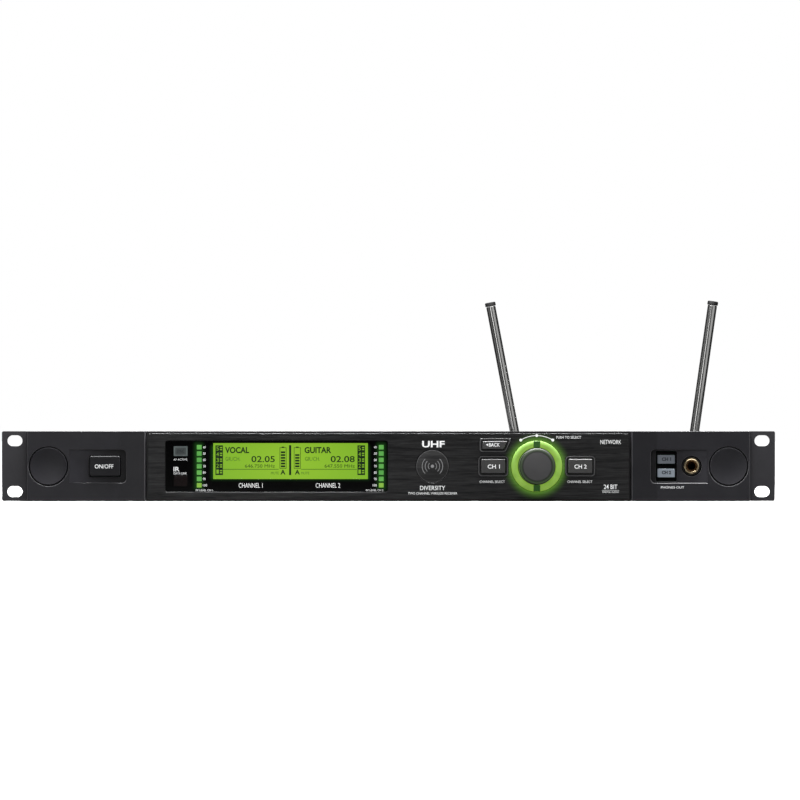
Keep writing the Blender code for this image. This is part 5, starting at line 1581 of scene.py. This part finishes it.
flange_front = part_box("audio_output_1")[1].y
for node in ("audio_output_1", "audio_output_2", "digital_output"):
    piece = dressed(node, [socket_plastic, gold_plate], 0.0003, 2)
    x = centre(node).x
    places = []
    for degrees in (90, 210, 330):
        t = math.radians(degrees)
        places.append((x + 0.0048 * math.cos(t), middle_z - 0.0048 * math.sin(t)))
    pin_faces(piece, places, 0.0014, flange_front - 0.0158)
inlet = dressed("mains_inlet", [socket_plastic, tin_plate], 0.0003, 2)
mains = centre("mains_inlet")
pin_faces(
    inlet,
    [(mains.x - 0.007, middle_z - 0.002), (mains.x + 0.007, middle_z - 0.002), (mains.x, middle_z + 0.002)],
    0.0023,
    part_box("mains_inlet")[1].y - 0.0152,
)
dressed("network_ports", tin_plate, 0.0002, 2)
network = centre("network_ports")
contacts = bmesh.new()
for side in (-1, 1):
    port_x = network.x + side * 0.0335 / 4
    for i in range(8):
        x = port_x + (i - 3.5) * 0.00102
        bar(
            contacts,
            x - 0.00018,
            x + 0.00018,
            network.z + 0.0016,
            network.z + 0.0042,
            rear_face - 0.0118,
            rear_face - 0.0020,
        )
link_piece("network_contacts", to_mesh(contacts, "network_contacts"), gold_plate, "housing")

# %% Back legends
bm = bmesh.new()
legends = [("ANTENNA A", 80.5, 96.0, 34.8, 36.6), ("ANTENNA B", 188.0, 203.5, 34.8, 36.6)]
legends += [("CLOCK", 47.5, 56.5, 32.6, 34.4), ("DIGITAL", 5.0, 15.0, 38.4, 39.9)]
legends += [("OUT 1", -32.0, -24.0, 38.4, 39.9), ("OUT 2", -66.0, -58.0, 38.4, 39.9)]
legends += [("NETWORK", 139.5, 152.5, 31.6, 33.4), ("MAINS INPUT", -194.0, -176.0, 35.6, 37.4)]
for words, left, right, low, high in legends:
    lettering(bm, words, mm(left), mm(right), mm(low), mm(high), rear_face, 0.0, rear=True)
link_piece("back_legends", to_mesh(bm, "back_legends"), white_ink, "housing")
print("back panel made")

# %% [markdown]
# ## What stays as packed
# The boards and blocks inside the case can hardly be seen through its vents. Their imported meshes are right,
# so they only get finishes.

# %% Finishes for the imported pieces
kept = {
    "front_board": solder_resist,
    "main_board": solder_resist,
    "supply_board": solder_resist,
    "radio_module_a": tin_plate,
    "radio_module_b": tin_plate,
    "supply_heat_sink": bare_aluminium,
    "supply_transformer": coil_tape,
    "display_ribbon": cable_skin,
    "encoder_body": black_nickel,
    "encoder_shaft": nickel,
    "encoder_plunger": frame_plastic,
}
for node, look in kept.items():
    mesh = nodes[node].data
    mesh.materials.clear()
    mesh.materials.append(look)
print(len(kept), "packed nodes finished in place")

# %% [markdown]
# ## Studio
# A pale floor, a white surround and soft lights. The unit's face is dark and glossy, so what it shows is
# mostly what it reflects.
#
# - high_front is broad and gives the satin parts their tone.
# - overhead hangs straight above the face and puts a bright line on every upper edge and lower lip.
# - tall_front, on the left, draws the bright streak down each antenna.
# - broad_right fills the antennas' middle tone, and tall_left softens the left side.
# - high_back lights the top of the case and the back panel.
#
# The floor and the surround are white to the camera and dim to every other ray, so that they fill the
# picture without washing out the dark parts, which would mirror the floor just in front of them.


# %% Floor and surround
def floor_finish():
    made = bpy.data.materials.new("pale_floor")
    made.use_nodes = True
    tree = made.node_tree
    shader = tree.nodes["Principled BSDF"]
    place = tree.nodes.new("ShaderNodeTexCoord").outputs["Object"]
    seen_by = tree.nodes.new("ShaderNodeLightPath").outputs["Is Camera Ray"]
    tone = blended(tree, add_noise(tree, place, 3.0, 2.0), (0.86, 0.86, 0.86), (0.90, 0.90, 0.90))
    size = tree.nodes.new("ShaderNodeVectorMath")
    size.operation = "LENGTH"
    tree.links.new(place, size.inputs[0])
    far = ranged(tree, size.outputs["Value"], 0.0, 1.0, 0.7, 2.5)
    glow = blended(tree, far, (0.55, 0.55, 0.55), (1.0, 1.0, 1.0), 0.0, 1.0)
    for socket, unseen in (("Base Color", (0.03, 0.03, 0.03, 1)), ("Emission Color", (0, 0, 0, 1))):
        choice = tree.nodes.new("ShaderNodeMix")
        choice.data_type = "RGBA"
        choice.inputs["A"].default_value = unseen
        tree.links.new(seen_by, choice.inputs["Factor"])
        tree.links.new(tone if socket == "Base Color" else glow, choice.inputs["B"])
        tree.links.new(choice.outputs["Result"], shader.inputs[socket])
    shader.inputs["Roughness"].default_value = 0.9
    shader.inputs["Emission Strength"].default_value = 1.0
    return made


bm = bmesh.new()
bmesh.ops.create_grid(bm, x_segments=8, y_segments=8, size=12.0)
bmesh.ops.translate(bm, vec=(0, 0, -0.0002), verts=bm.verts)
floor_mesh = to_mesh(bm, "floor")
floor_mesh.materials.append(floor_finish())
floor = bpy.data.objects.new("floor", floor_mesh)
scene.collection.objects.link(floor)

world = bpy.data.worlds.new("studio")
scene.world = world
world.use_nodes = True
tree = world.node_tree
tree.nodes.clear()
out = tree.nodes.new("ShaderNodeOutputWorld")
path = tree.nodes.new("ShaderNodeLightPath")
shown = None
for strength, ray in ((0.22, None), (0.045, "Is Glossy Ray"), (1.0, "Is Camera Ray")):
    light = tree.nodes.new("ShaderNodeBackground")
    light.inputs["Color"].default_value = (1, 1, 1, 1)
    light.inputs["Strength"].default_value = strength
    if ray is None:
        shown = light.outputs["Background"]
        continue
    choose = tree.nodes.new("ShaderNodeMixShader")
    tree.links.new(path.outputs[ray], choose.inputs["Fac"])
    tree.links.new(shown, choose.inputs[1])
    tree.links.new(light.outputs["Background"], choose.inputs[2])
    shown = choose.outputs["Shader"]
tree.links.new(shown, out.inputs["Surface"])


# %% Lights
def soft_light(name, at, target, size_x, size_y, power, tint=(1, 1, 1)):
    data = bpy.data.lights.new(name, "AREA")
    data.shape = "RECTANGLE"
    data.size = size_x
    data.size_y = size_y
    data.energy = power
    data.color = tint
    made = bpy.data.objects.new(name, data)
    scene.collection.objects.link(made)
    made.location = at
    made.rotation_euler = (Vector(target) - Vector(at)).to_track_quat("-Z", "Y").to_euler()
    return made


face_centre = (0, plate_face, middle_z)
soft_light("high_front", (0.35, -1.1, 1.3), face_centre, 2.2, 0.7, 14)
soft_light("overhead", (0, -0.118, 0.60), (0, -0.108, 0), 0.50, 0.09, 26)
soft_light("tall_front", (-0.65, -2.0, 0.35), (0.13, 0.1, 0.08), 0.45, 1.2, 3.4)
soft_light("broad_right", (1.45, -1.3, 0.45), (0.13, 0.1, 0.08), 1.8, 1.3, 4)
soft_light("tall_left", (-1.7, -0.5, 0.4), (0.13, 0.1, 0.08), 0.9, 1.3, 0.6)
soft_light("high_back", (0, 1.2, 1.5), (0, 0, 0.05), 2.0, 0.6, 14)

# %% Camera
camera_data = bpy.data.cameras.new("camera")
camera = bpy.data.objects.new("camera", camera_data)
scene.collection.objects.link(camera)
scene.camera = camera
distance = 2.5
across = 0.4994
camera_height, picture_height = 0.045, 0.0631
camera_data.sensor_width = 36.0
camera_data.lens = 36.0 * distance / across
camera_data.shift_y = (picture_height - camera_height) / across
camera_data.clip_end = 50.0
camera.location = (0.0072, plate_face - distance, camera_height)
camera.rotation_euler = (math.pi / 2, 0, 0)
scene.view_settings.view_transform = "Standard"
print("camera at", [round(v, 3) for v in camera.location])
